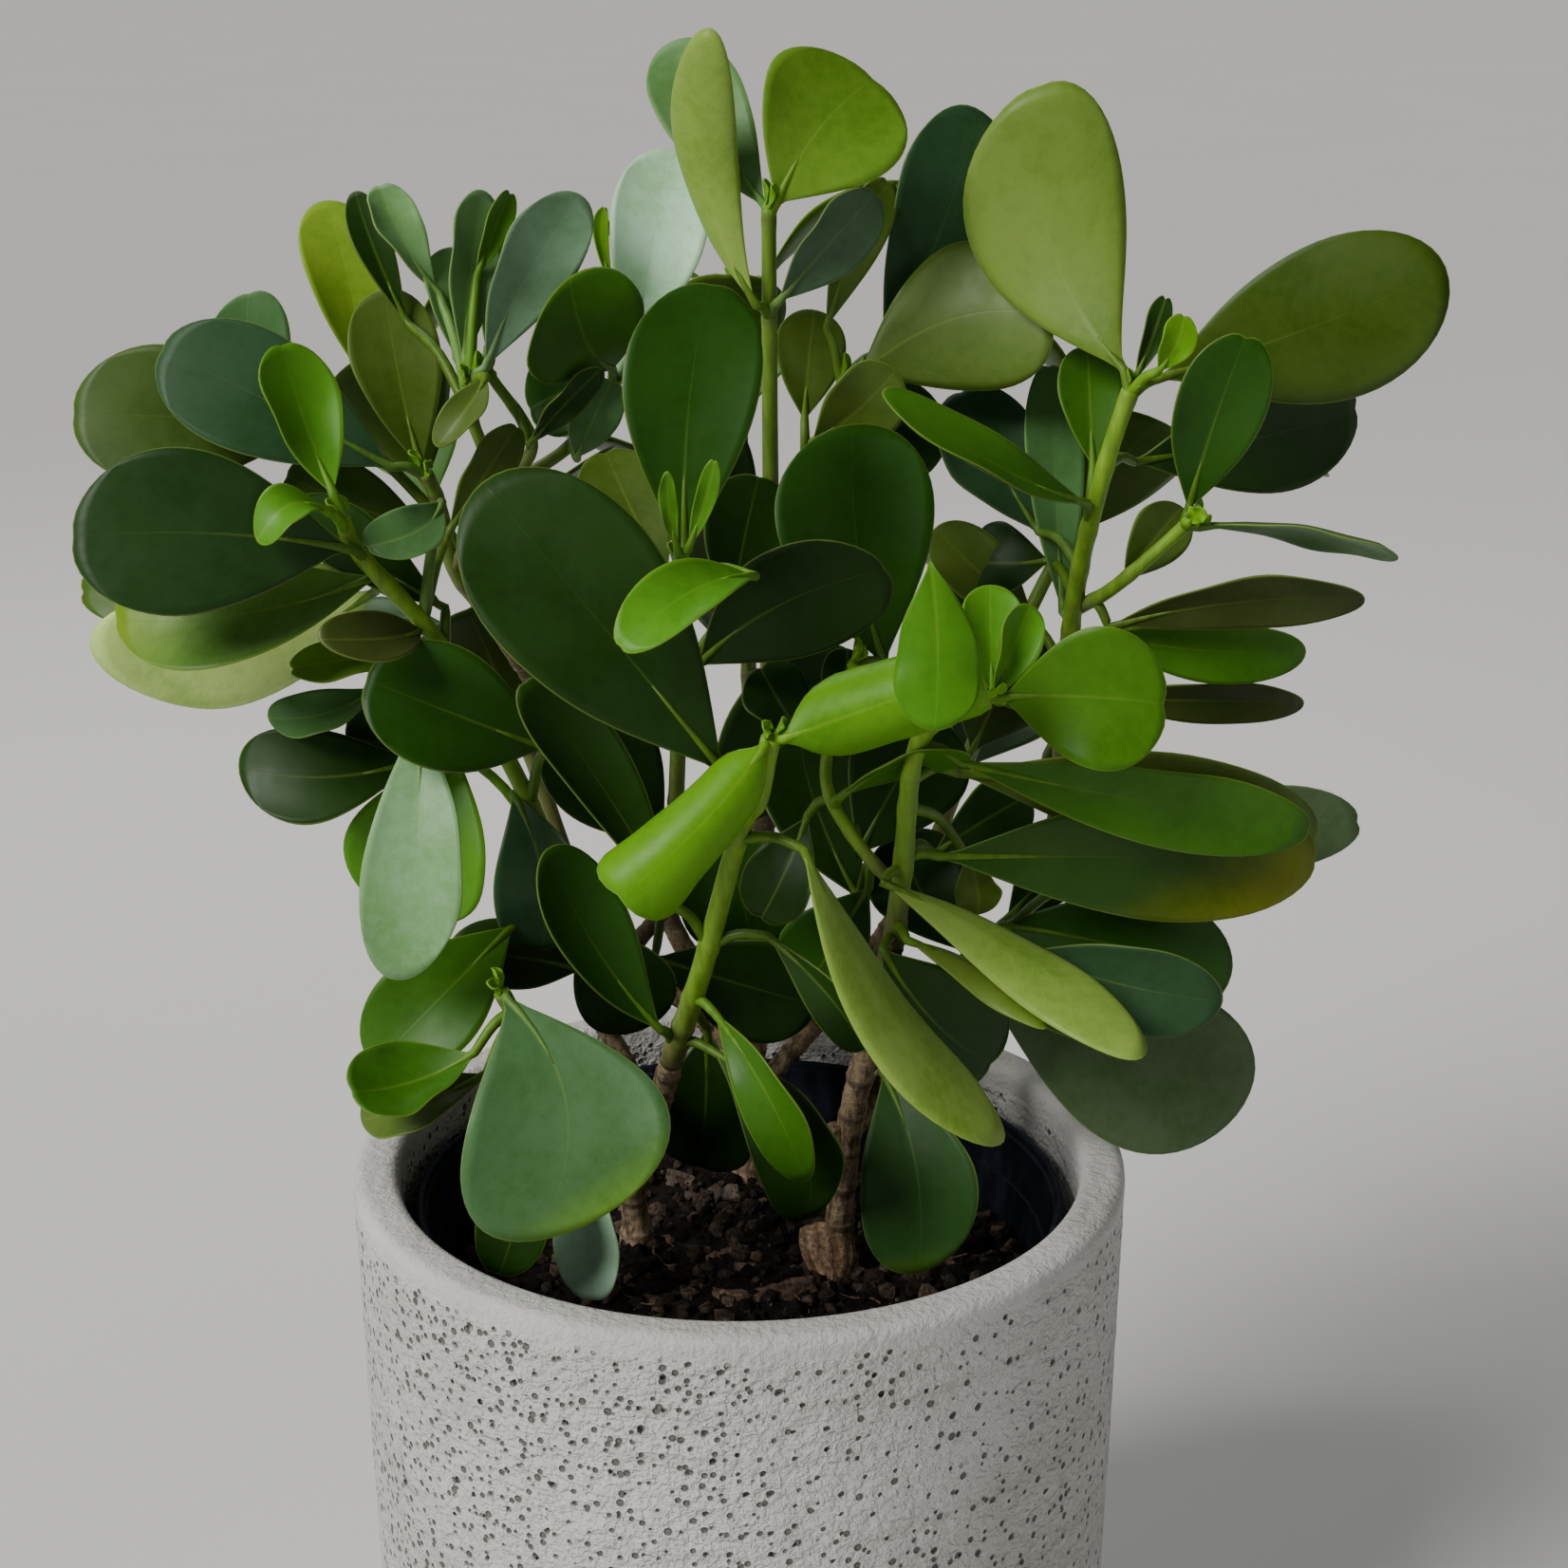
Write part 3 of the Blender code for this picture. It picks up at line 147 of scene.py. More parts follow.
# Leafy shoots. Each has its stem paths, as above, and its leaves. A leaf is
# (path, along, base, tip, edge, edge, roll, arch, curl): it leaves its stem path at
# the share "along", and its blade runs from base to tip, with a point of the photo
# on each of its two edges where it is widest. Roll turns the blade about its midrib
# from facing the viewer (180 shows the underside), arch in mm lifts the middle
# towards the upper face, and curl is the angle that each half turns up by. A rolled
# leaf has that angle at its foot and at its end, and the shares between which it opens.
# A row whose path is None is the end of a rolled leaf, folded back over it.
SHOOTS = {
    "leafy_shoot_front": {
        "seat": ("woody_stem_left", 0),
        "stems": [
            ([(733, 1042, 32), (746, 999, 38), (781, 872, 48), (799, 843, 51),
              (812, 777, 55)], 2.9, 2.2),
        ],
        "leaves": [
            (0, 0.98, (806, 786, 57), (648, 948, 70), (680, 873), (748, 912), 180, -3, (250, 120, 0.2, 0.95)),
            (0, 0.98, (826, 778, 56), (1034, 706, 62), (946, 694), (971, 768), 180, 2, (160, 170, 0.2, 0.9)),
            (0, 0.72, (762, 812, 52), (508, 508, 40), (650, 525), (525, 675), 8, 5, 16),
            (0, 0.72, (845, 895, 56), (1057, 1202, 66), (910, 1102), (970, 1070), 122, 6, 24),
            (0, 0.42, (712, 955, 44), (552, 716, 38), (578, 797), (655, 780), 30, -4, 44),
            (0, 0.42, (808, 987, 43), (910, 1107, 44), (838, 1052), (890, 1045), 40, 6, 32),
            (0, 0.24, (752, 1068, 38), (849, 1245, 54), (835, 1160), (788, 1190), 40, 9, 32),
            (0, 0.05, (697, 1085, 30), (578, 893, 26), (582, 985), (668, 965), 30, -3, 44),
            (0, 0.08, (750, 1108, 28), (852, 1286, 40), (882, 1205), (785, 1215), 35, 8, 32),
            (0, 0.14, (745, 1085, -6), (738, 1232, -14), (684, 1180), (795, 1180), 14, 4, 24),
            (None, 0.0, (980, 592, 62), (984, 770, 67), (942, 745), (1035, 720), 0, 0, -30),
        ],
        "tones": (
            "lime", "lime", "dark", "paler", "dark", "dark", "mid", "deep",
            "dark", "dark", "flap",
        ),
    },
    "leafy_shoot_middle": {
        "seat": ("woody_stem_left", 2),
        "stems": [
            ([(712, 850, -25), (716, 700, 2), (715, 598, 22)], 2.3, 1.8),
        ],
        "leaves": [
            (0, 0.99, (722, 587, 22), (748, 297, -4), (657, 400), (803, 390), 4, 6, 16),
            (0, 0.99, (715, 584, 30), (703, 497, 34), (713, 528), (695, 531), 0, 0, 20),
            (0, 0.99, (724, 580, 30), (753, 484, 34), (755, 524), (734, 516), 0, 0, 20),
            (0, 0.95, (796, 606, 34), (651, 682, 64), (684, 604), (738, 648), 30, 7, 40),
            (0, 0.93, (703, 610, 14), (637, 474, -10), (701, 503), (620, 543), 14, 3, 16),
            (0, 0.62, (735, 702, -6), (936, 600, 4), (840, 566), (880, 682), 20, 4, 20),
            (0, 0.62, (770, 650, -30), (800, 500, -44), (836, 563), (743, 545), 20, 3, 16),
            (0, 0.3, (745, 880, -34), (905, 690, -46), (900, 803), (794, 713), 20, 3, 16),
            (0, 0.3, (700, 890, -34), (592, 752, -42), (681, 762), (581, 838), 20, 3, 16),
            (0, 0.08, (690, 1010, -26), (862, 1060, -20), (790, 1098), (800, 990), 20, 4, 16),
            (0, 0.2, (745, 845, -36), (792, 1002, -34), (838, 926), (714, 952), 14, 4, 20),
        ],
        "tones": (
            "deep", "bright", "bright", "bright", "olive", "dark", "dark", "dark",
            "dark", "dark", "deep",
        ),
    },
    "leafy_shoot_left": {
        "seat": ("woody_stem_left", 1),
        "stems": [
            ([(600, 950, -12), (560, 850, -4), (505, 745, 4), (455, 667, 10),
              (378, 583, 16), (360, 545, 18)], 2.5, 1.9),
        ],
        "leaves": [
            (0, 0.97, (352, 520, 20), (296, 361, 8), (280, 420), (366, 435), 24, -4, 48),
            (0, 0.97, (345, 538, 24), (271, 570, 34), (300, 507), (312, 550), 30, 6, 40),
            (0, 0.92, (366, 578, 22), (74, 565, 36), (185, 472), (195, 648), 6, 4, 16),
            (0, 0.88, (396, 606, 12), (120, 652, 14), (245, 698), (235, 585), 26, 6, 28),
            (0, 0.86, (396, 622, 4), (98, 690, -2), (190, 758), (190, 622), 156, 5, 20),
            (0, 0.72, (445, 662, 10), (337, 673, 34), (395, 642), (385, 697), 30, 4, 28),
            (0, 0.7, (435, 690, 6), (304, 705, 14), (340, 717), (360, 672), 30, 4, 24),
            (0, 0.55, (402, 722, 0), (282, 756, 4), (330, 726), (342, 771), 36, 4, 24),
            (0, 0.72, (470, 640, 4), (310, 528, -6), (387, 541), (348, 596), 36, 4, 24),
            (0, 0.55, (440, 750, 12), (420, 1033, 34), (379, 950), (487, 905), 14, 8, 24),
            (0, 0.52, (440, 800, 0), (251, 808, 2), (320, 766), (340, 865), 16, 5, 20),
            (0, 0.4, (575, 788, 12), (384, 715, 22), (450, 668), (470, 818), 10, 5, 20),
            (0, 0.33, (540, 835, -2), (570, 1002, 4), (515, 920), (614, 900), 16, 5, 24),
            (0, 0.2, (540, 975, 6), (393, 1122, 24), (536, 1055), (386, 1046), 12, 6, 20),
            (0, 0.08, (612, 1022, -2), (472, 1003, 10), (520, 966), (530, 1042), 16, 4, 20),
            (0, 0.28, (480, 790, -14), (425, 968, -8), (366, 875), (512, 925), 16, 5, 20),
            (0, 0.78, (466, 527, 2), (383, 576, 18), (412, 538), (432, 592), 20, 4, 28),
            (0, 0.78, (474, 560, -4), (546, 448, -10), (482, 505), (534, 512), 20, 3, 24),
            (0, 0.55, (455, 792, -4), (361, 778, -2), (392, 727), (397, 833), 14, 3, 20),
            (0, 0.84, (300, 606, -6), (83, 622, -10), (150, 580), (155, 658), 10, 3, 20),
            (0, 0.06, (612, 968, -9), (684, 1082, -7), (700, 1012), (610, 1066), 14, 4, 20),
        ],
        "tones": (
            "bright", "bright", "forest", "meadow_lit", "cream", "brown", "fresh", "grey",
            "dark", "silver", "dark", "deep", "blue", "mid", "dark", "bright",
            "grey", "olive", "dark", "pale", "dark",
        ),
    },
    "leafy_shoot_upper_left": {
        "seat": ("woody_stem_back", 1),
        "stems": [
            ([(478, 598, -40), (462, 530, -36), (448, 498, -32)], 2.3, 1.8),
            ([(478, 598, -40), (520, 520, -30), (497, 440, -24), (494, 400, -20)], 2.0, 1.4),
            ([(520, 520, -30), (561, 468, -34), (515, 393, -32)], 1.8, 1.3),
            ([(520, 520, -30), (600, 470, -44), (650, 400, -42)], 1.8, 1.4),
        ],
        "leaves": [
            (0, 0.97, (412, 492, -28), (168, 368, -30), (300, 356), (245, 476), 8, 4, 20),
            (0, 0.97, (444, 493, -34), (405, 304, -52), (362, 340), (468, 385), 12, 3, 20),
            (0, 0.7, (330, 452, -40), (75, 438, -30), (170, 364), (150, 508), 8, 5, 20),
            (0, 0.85, (386, 404, -58), (342, 211, -72), (320, 275), (407, 268), 16, 3, 24),
            (1, 0.98, (512, 388, -18), (612, 205, -28), (530, 262), (621, 262), 20, 3, 28),
            (1, 0.97, (490, 385, -24), (509, 200, -44), (529, 269), (475, 264), 30, 3, 24),
            (1, 0.9, (514, 372, -32), (534, 257, -48), (548, 302), (506, 295), 20, 2, 24),
            (1, 0.93, (482, 376, -32), (497, 262, -48), (445, 318), (518, 305), 20, 3, 24),
            (1, 0.85, (462, 308, -34), (401, 193, -46), (402, 245), (456, 250), 36, 3, 44),
            (1, 0.8, (430, 340, -46), (374, 201, -60), (366, 240), (414, 255), 18, 3, 24),
            (1, 0.95, (512, 396, -12), (460, 470, 2), (464, 433), (493, 454), 30, 4, 28),
            (2, 0.7, (558, 470, -28), (634, 388, -26), (618, 428), (596, 407), 36, 2, 24),
            (3, 0.98, (664, 372, -40), (705, 157, -54), (643, 238), (749, 222), 12, 3, 32),
            (3, 0.97, (648, 305, -44), (637, 217, -56), (628, 262), (644, 264), 30, 3, 20),
            (3, 0.96, (646, 390, -36), (600, 293, -18), (541, 350), (680, 322), 10, 4, 24),
            (3, 0.55, (608, 484, -38), (646, 400, -30), (655, 441), (609, 420), 20, 3, 20),
            (0, 0.7, (305, 440, -56), (262, 307, -68), (217, 345), (306, 350), 10, 3, 20),
            (1, 0.92, (503, 292, -30), (539, 201, -40), (512, 236), (541, 236), 30, 2, 40),
            (3, 0.9, (646, 404, -48), (556, 432, -44), (588, 368), (612, 452), 14, 3, 20),
            (0, 0.3, (452, 560, -42), (300, 500, -40), (372, 486), (352, 566), 14, 4, 20),
        ],
        "tones": (
            "blue", "olive", "moss", "lemon", "steel", "mint", "bright", "mint",
            "mint", "dark", "olive", "dark", "sheen", "lime", "mid", "grey",
            "grey", "bright", "deep", "moss",
        ),
    },
    "leafy_shoot_top": {
        "seat": ("woody_stem_back", 0),
        "stems": [
            ([(812, 600, -52), (811, 400, -40), (810, 219, -32)], 2.4, 1.8),
            ([(812, 600, -52), (860, 470, -50), (890, 400, -50)], 1.9, 1.5),
        ],
        "leaves": [
            (0, 0.98, (818, 215, -30), (922, 82, -42), (812, 72), (951, 162), 8, 4, 20),
            (0, 0.98, (806, 216, -36), (710, 42, -66), (688, 115), (790, 100), 14, 2, 24),
            (0, 0.8, (798, 322, -30), (746, 29, -26), (712, 150), (781, 162), 150, 3, 34),
            (0, 0.8, (822, 318, -30), (924, 203, -34), (858, 235), (922, 262), 34, 3, 32),
            (1, 0.97, (872, 345, -52), (938, 188, -64), (880, 250), (936, 248), 24, 3, 20),
            (1, 0.99, (930, 372, -60), (1030, 114, -78), (948, 190), (1060, 235), 12, 4, 20),
            (1, 0.98, (905, 398, -46), (1108, 332, -36), (990, 262), (1045, 413), 168, 4, 20),
            (1, 0.62, (856, 466, -44), (944, 390, -40), (872, 410), (940, 455), 20, 3, 20),
            (1, 0.5, (848, 443, -54), (858, 326, -64), (817, 372), (891, 372), 12, 3, 20),
            (0, 0.38, (800, 560, -62), (700, 430, -70), (777, 446), (695, 508), 20, 3, 16),
            (1, 0.3, (870, 520, -66), (985, 420, -76), (980, 498), (907, 414), 20, 3, 16),
        ],
        "tones": (
            "fresh", "mint", "paler", "slate", "olive", "blue", "sage", "olive",
            "olive", "dark", "dark",
        ),
    },
    "leafy_shoot_right": {
        "seat": ("woody_stem_right", 0),
        "stems": [
            ([(951, 917, 22), (969, 780, 28), (1040, 738, 34)], 2.8, 2.0),
            ([(951, 917, 22), (931, 921, 20), (878, 848, 16), (872, 790, 8), (900, 700, 0)], 1.7, 1.3),
        ],
        "leaves": [
            (0, 0.98, (1047, 732, 32), (1043, 616, 22), (1016, 655), (1078, 655), 16, 2, 50),
            (0, 0.98, (1050, 736, 34), (1086, 637, 28), (1055, 676), (1102, 670), 30, 2, 62),
            (0, 0.98, (1056, 735, 36), (1231, 742, 46), (1160, 661), (1165, 812), 8, 4, 16),
            (1, 0.42, (885, 842, 22), (1022, 796, 30), (948, 800), (960, 822), 66, 4, 20),
            (0, 0.72, (1012, 804, 26), (1382, 874, 28), (1272, 818), (1230, 895), 20, 5, 24),
            (0, 0.32, (990, 903, 22), (1388, 905, 8), (1255, 838), (1290, 972), 10, 4, 16),
            (0, 0.28, (928, 930, 30), (1206, 1113, 58), (1110, 1004), (1085, 1066), 132, 6, 20),
            (0, 0.07, (955, 992, 31), (1104, 1082, 42), (1058, 1030), (1038, 1057), 130, 3, 24),
            (1, 0.97, (932, 700, -12), (900, 446, -30), (817, 540), (986, 545), 8, 4, 16),
            (1, 0.45, (850, 860, 8), (800, 970, 12), (783, 915), (853, 946), 24, 4, 20),
            (1, 0.8, (880, 752, -6), (893, 683, -10), (863, 722), (919, 712), 14, 2, 20),
            (1, 0.72, (850, 780, -6), (800, 700, -12), (847, 711), (789, 747), 24, 3, 20),
            (0, 0.5, (1018, 900, 6), (1030, 964, 8), (1004, 936), (1053, 938), 14, 3, 20),
            (0, 0.6, (1010, 815, 12), (1388, 880, 0), (1255, 797), (1235, 905), 14, 4, 20),
            (1, 0.3, (905, 900, -10), (988, 755, -28), (1012, 842), (900, 778), 14, 4, 20),
            (1, 0.16, (915, 935, 2), (848, 1042, -6), (918, 1026), (828, 974), 14, 4, 20),
            (0, 0.34, (985, 900, 4), (1085, 838, -8), (1010, 842), (1066, 890), 14, 4, 20),
            (0, 0.03, (930, 1000, 28), (1048, 1122, 20), (1050, 1045), (928, 1108), -12, 3, 20),
            (1, 0.14, (905, 946, -10), (842, 776, -36), (802, 838), (900, 800), 12, 4, 20),
        ],
        "tones": (
            "bright", "bright", "spring", "mid", "mid", "turning", "paler", "pale",
            "deep", "dark", "dark", "dark", "olive", "olive", "dark", "deep",
            "dark", "dark", "dark",
        ),
    },
    "leafy_shoot_upper_right": {
        "seat": ("woody_stem_right", 2),
        "stems": [
            ([(1125, 690, -40), (1138, 598, -26), (1155, 527, -18), (1172, 466, -16),
              (1191, 412, -16)], 2.6, 2.2),
            ([(1137, 640, -34), (1176, 617, -20), (1250, 553, -14)], 1.9, 1.6),
        ],
        "leaves": [
            (0, 0.99, (1184, 389, -18), (1098, 87, -40), (1006, 205), (1180, 175), 172, 5, 16),
            (0, 0.98, (1225, 398, -18), (1524, 285, -34), (1415, 245), (1430, 419), 168, 5, 16),
            (0, 0.99, (1220, 392, -10), (1248, 331, -8), (1223, 356), (1263, 358), 16, 2, 28),
            (0, 0.99, (1197, 400, -20), (1229, 311, -26), (1203, 350), (1232, 347), 16, 2, 24),
            (0, 0.82, (1196, 487, -30), (1432, 432, -46), (1330, 524), (1325, 403), 14, 4, 20),
            (0, 0.66, (1146, 529, -14), (930, 413, 2), (1000, 428), (1000, 476), 52, 4, 36),
            (0, 0.66, (1152, 492, -24), (1146, 365, -40), (1116, 430), (1183, 412), 12, 3, 20),
            (0, 0.36, (1120, 645, -44), (1105, 382, -58), (1081, 470), (1141, 470), 14, 3, 20),
            (0, 0.3, (1145, 668, -34), (1376, 688, -18), (1290, 659), (1275, 720), 34, 4, 20),
            (0, 0.14, (1150, 738, -40), (1374, 741, -28), (1290, 720), (1290, 764), 40, 4, 20),
            (0, 0.2, (1090, 655, -52), (985, 556, -60), (1047, 566), (999, 617), 20, 3, 20),
            (0, 0.55, (1095, 560, -46), (1010, 410, -62), (1085, 439), (996, 489), 20, 3, 20),
            (1, 0.98, (1252, 538, -14), (1314, 351, -6), (1226, 460), (1342, 410), 8, 3, 20),
            (1, 0.97, (1264, 557, -12), (1473, 590, -4), (1375, 559), (1370, 576), 76, 4, 20),
            (1, 0.99, (1250, 552, -8), (1268, 537, -4), (1268, 550), (1255, 535), 10, 0, 20),
            (1, 0.55, (1185, 612, -22), (1246, 534, -26), (1248, 581), (1200, 544), 26, 3, 20),
            (1, 0.2, (1168, 662, -24), (1438, 631, -4), (1335, 609), (1320, 664), 36, 4, 20),
            (0, 0.45, (1105, 590, -50), (1020, 590, -60), (1051, 548), (1051, 632), 24, 3, 20),
            (0, 0.05, (1100, 800, -56), (1190, 820, -50), (1149, 850), (1166, 776), 24, 3, 20),
            (0, 0.05, (1060, 740, -56), (974, 618, -64), (1048, 633), (964, 693), 20, 3, 20),
        ],
        "tones": (
            "pale", "olive", "lime", "dark", "dark", "mid", "mid", "grey",
            "mid", "brown", "olive", "blue", "deep", "grey", "lime", "olive",
            "brown", "dark", "dark", "dark",
        ),
    },
    "leafy_shoot_low_left": {
        "seat": ("woody_stem_left", 3),
        "stems": [
            ([(600, 1130, 24), (548, 1075, 34), (528, 1045, 36)], 2.4, 2.0),
        ],
        "leaves": [
            (0, 0.97, (533, 1051, 40), (562, 1308, 66), (698, 1138), (490, 1245), 4, 6, 16),
            (0, 0.9, (500, 1108, 40), (368, 1150, 52), (404, 1098), (427, 1172), 30, -5, 48),
            (0, 0.86, (512, 1130, 34), (380, 1180, 36), (417, 1134), (438, 1190), 34, 6, 28),
            (0, 0.55, (570, 1180, 22), (525, 1345, 36), (504, 1275), (579, 1296), 20, 5, 24),
            (0, 0.2, (618, 1200, 14), (626, 1372, 26), (583, 1312), (649, 1302), 16, 4, 24),
        ],
        "tones": (
            "greying", "mid", "olive", "dark", "sheen",
        ),
    },
    "leafy_shoot_low_right": {
        "seat": ("woody_stem_right", 1),
        "stems": [
            ([(1000, 1060, 4), (1050, 990, 2)], 2.4, 2.0),
        ],
        "leaves": [
            (0, 0.99, (1055, 975, 0), (1297, 1030, 6), (1190, 937), (1190, 1066), 10, 5, 20),
            (0, 0.97, (1075, 1003, 10), (1288, 1056, 30), (1185, 994), (1225, 1098), 20, 5, 24),
            (0, 0.7, (1046, 1056, -6), (1317, 1152, 2), (1190, 1212), (1270, 1052), 8, 5, 16),
            (0, 0.1, (930, 1130, 14), (966, 1342, 36), (902, 1245), (1031, 1265), 6, 7, 24),
            (0, 0.95, (1150, 925, -10), (1434, 864, -16), (1380, 823), (1385, 909), 24, 4, 20),
            (0, 0.9, (1062, 968, -12), (1128, 896, -26), (1068, 912), (1124, 950), 14, 3, 20),
            (0, 0.5, (1018, 1002, -8), (950, 876, -30), (908, 928), (1008, 892), 14, 3, 20),
        ],
        "tones": (
            "deep", "blue", "ash", "limetip", "ash", "dark", "dark",
        ),
    },
}

# The shoots behind, which the photograph doesn't show, follow a rule: a stem that
# leans away from the pot's axis, with pairs of leaves, each pair across the last.
BACK_SHOOTS = {
    "leafy_shoot_back_left": {"fork": 0.36, "from": (-46, 72, 236), "to": (-98, 104, 368), "seed": 4},
    "leafy_shoot_back_middle": {"fork": 0.44, "from": (4, 92, 250), "to": (0, 132, 390), "seed": 9},
    "leafy_shoot_back_right": {"fork": 0.30, "from": (50, 72, 232), "to": (106, 104, 350), "seed": 15},
}
BACK_PAIRS = 4
BACK_LEAF_LENGTH = 64
BACK_LEAF_WIDTH = 37
BACK_PETIOLE = 9
BACK_STEM_FOOT = 2.4 * MM
BACK_STEM_END = 1.8 * MM

# The most that a blade turns from its foot to its tip, in degrees
LEAF_TWIST = 14
# The most that each half of a blade turns up by, in degrees: rolled to a closed tube
STEEPEST_CURL = 180
# How far along the blade its curl starts to open and is open, unless a row says so
OPENING = (0.25, 0.9)

# Shoots whose stems are bright and young; the others are brown at their foot
YOUNG_SHOOTS = ("leafy_shoot_upper_right", "leafy_shoot_left", "leafy_shoot_right", "leafy_shoot_front")


def from_photo(place):
    """The point at a pixel of the photograph, a given distance before the axis."""
    x, y, front = place
    across = (x - PHOTO_MIDDLE) / PHOTO_FOCAL
    up = (PHOTO_MIDDLE - y) / PHOTO_FOCAL
    ray = LOOK + LOOK_RIGHT * across + LOOK_UP * up
    return EYE + ray * ((-front * MM - EYE.y) / ray.y)


def smooth_path(points, steps):
    """Points along a smooth curve through the given ones."""
    ends = [points[0] * 2 - points[1]] + list(points) + [points[-1] * 2 - points[-2]]
    path = []
    for index in range(len(points) - 1):
        before, start, end, after = ends[index:index + 4]
        for step in range(steps):
            t = step / steps
            path.append(0.5 * (
                start * 2 + (end - before) * t
                + (before * 2 - start * 5 + end * 4 - after) * t * t
                + (start * 3 - before - end * 3 + after) * t * t * t
            ))
    path.append(points[-1].copy())
    return path


def path_point(path, share):
    """The point at a share of a path's length."""
    lengths = [(path[i + 1] - path[i]).length for i in range(len(path) - 1)]
    left = share * sum(lengths)
    for index, length in enumerate(lengths):
        if left <= length or index == len(lengths) - 1:
            return path[index].lerp(path[index + 1], min(left / length, 1.0))
        left -= length
    return path[-1]


def mix_colour(first, second, share):
    """The first colour, with a share of the second in its place."""
    return tuple(a + (b - a) * share for a, b in zip(first, second))


class Sheet:
    """A mesh that carries, at each vertex, a colour and a place on the blade.

    The place is in millimetres across the blade, along it and in from its edge. What is
    no blade has a place far from any edge.
    """

    def __init__(self):
        self.shape = bmesh.new()
        self.tint = self.shape.verts.layers.float_color.new("tint")
        self.place = self.shape.verts.layers.float_vector.new("place")

    def paint(self, vert, colour, place=(0.0, 0.0, 50.0)):
        vert[self.tint] = (*colour, 1.0)
        vert[self.place] = Vector(place)

    def absorb(self, other):
        """Takes another sheet's mesh into this one."""
        carrier = bpy.data.meshes.new("carrier")
        other.shape.to_mesh(carrier)
        other.shape.free()
        self.shape.from_mesh(carrier)
        bpy.data.meshes.remove(carrier)


def finish_piece(name, shape, materials, node, smooth_angle=None):
    """Makes the piece's object, at the origin, hangs it under the root body and hides the frame's node that
    it stands for.
    """
    mesh = bpy.data.meshes.new(name)
    shape.to_mesh(mesh)
    shape.free()
    mesh.shade_smooth()
    if smooth_angle:
        mesh.set_sharp_from_angle(angle=math.radians(smooth_angle))
    piece = bpy.data.objects.new(name, mesh)
    bpy.context.scene.collection.objects.link(piece)
    for material in materials:
        mesh.materials.append(material)
    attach(piece, "root")
    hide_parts(node)
    return piece


# Where the first corner of a tube's circles lies; no path runs along it
TUBE_SIDE = Vector((0.83, 0.31, 0.46))


def tube(sheet, path, radii, colours, sides, material=0):
    """A round stem through a path, skinned from circles."""
    shape = sheet.shape
    side = TUBE_SIDE
    loops = []
    for index, point in enumerate(path):
        ahead = (path[min(index + 1, len(path) - 1)] - path[max(index - 1, 0)]).normalized()
        side = (side - ahead * side.dot(ahead)).normalized()
        turn = Matrix((side, ahead.cross(side), ahead)).transposed().to_4x4()
        ring = bmesh.ops.create_circle(
            shape, segments=sides, radius=radii[index], matrix=Matrix.Translation(point) @ turn
        )["verts"]
        for vert in ring:
            sheet.paint(vert, colours[index])
        loops.append(ring)
    edges = [list(dict.fromkeys(edge for vert in ring for edge in vert.link_edges)) for ring in loops]
    for lower, upper in zip(edges, edges[1:]):
        for face in bmesh.ops.bridge_loops(shape, edges=lower + upper)["faces"]:
            face.material_index = material
    for rim in (edges[0], edges[-1]):
        for face in bmesh.ops.holes_fill(shape, edges=rim, sides=sides)["faces"]:
            face.material_index = material
    return loops


# Leaves

def blade_half_width(share):
    """Half the blade's width, as a share of its greatest: narrow below, round at the tip."""
    if share < BLADE_WIDEST:
        return math.sin(math.pi / 2 * share / BLADE_WIDEST) ** BLADE_WEDGE
    return math.sqrt(max(0.0, 1 - ((share - BLADE_WIDEST) / (1 - BLADE_WIDEST)) ** 2))


def leaf_frame(base, tip, roll):
    """The directions along a blade, across it and out of its upper face."""
    along = (tip - base).normalized()
    view = EYE - (base + tip) / 2
    normal = (view - along * view.dot(along)).normalized()
    across = along.cross(normal)
    angle = math.radians(roll)
    turned = normal * math.cos(angle) + across * math.sin(angle)
    return along, along.cross(turned), turned


def smooth_step(low, high, value):
    """0 at the low value, 1 at the high one, and an even rise between them."""
    share = min(max((value - low) / (high - low), 0.0), 1.0)
    return share * share * (3 - 2 * share)


def curl_at(curls, share):
    """How far each half of the blade is turned up, at a share of its length."""
    foot, end, starts, stops = curls
    return foot + (end - foot) * smooth_step(starts, stops, share)


def leaf_twist(name):
    """The turn of a blade from its foot to its tip, which its name picks."""
    return math.radians(random.Random(name).uniform(-LEAF_TWIST, LEAF_TWIST))


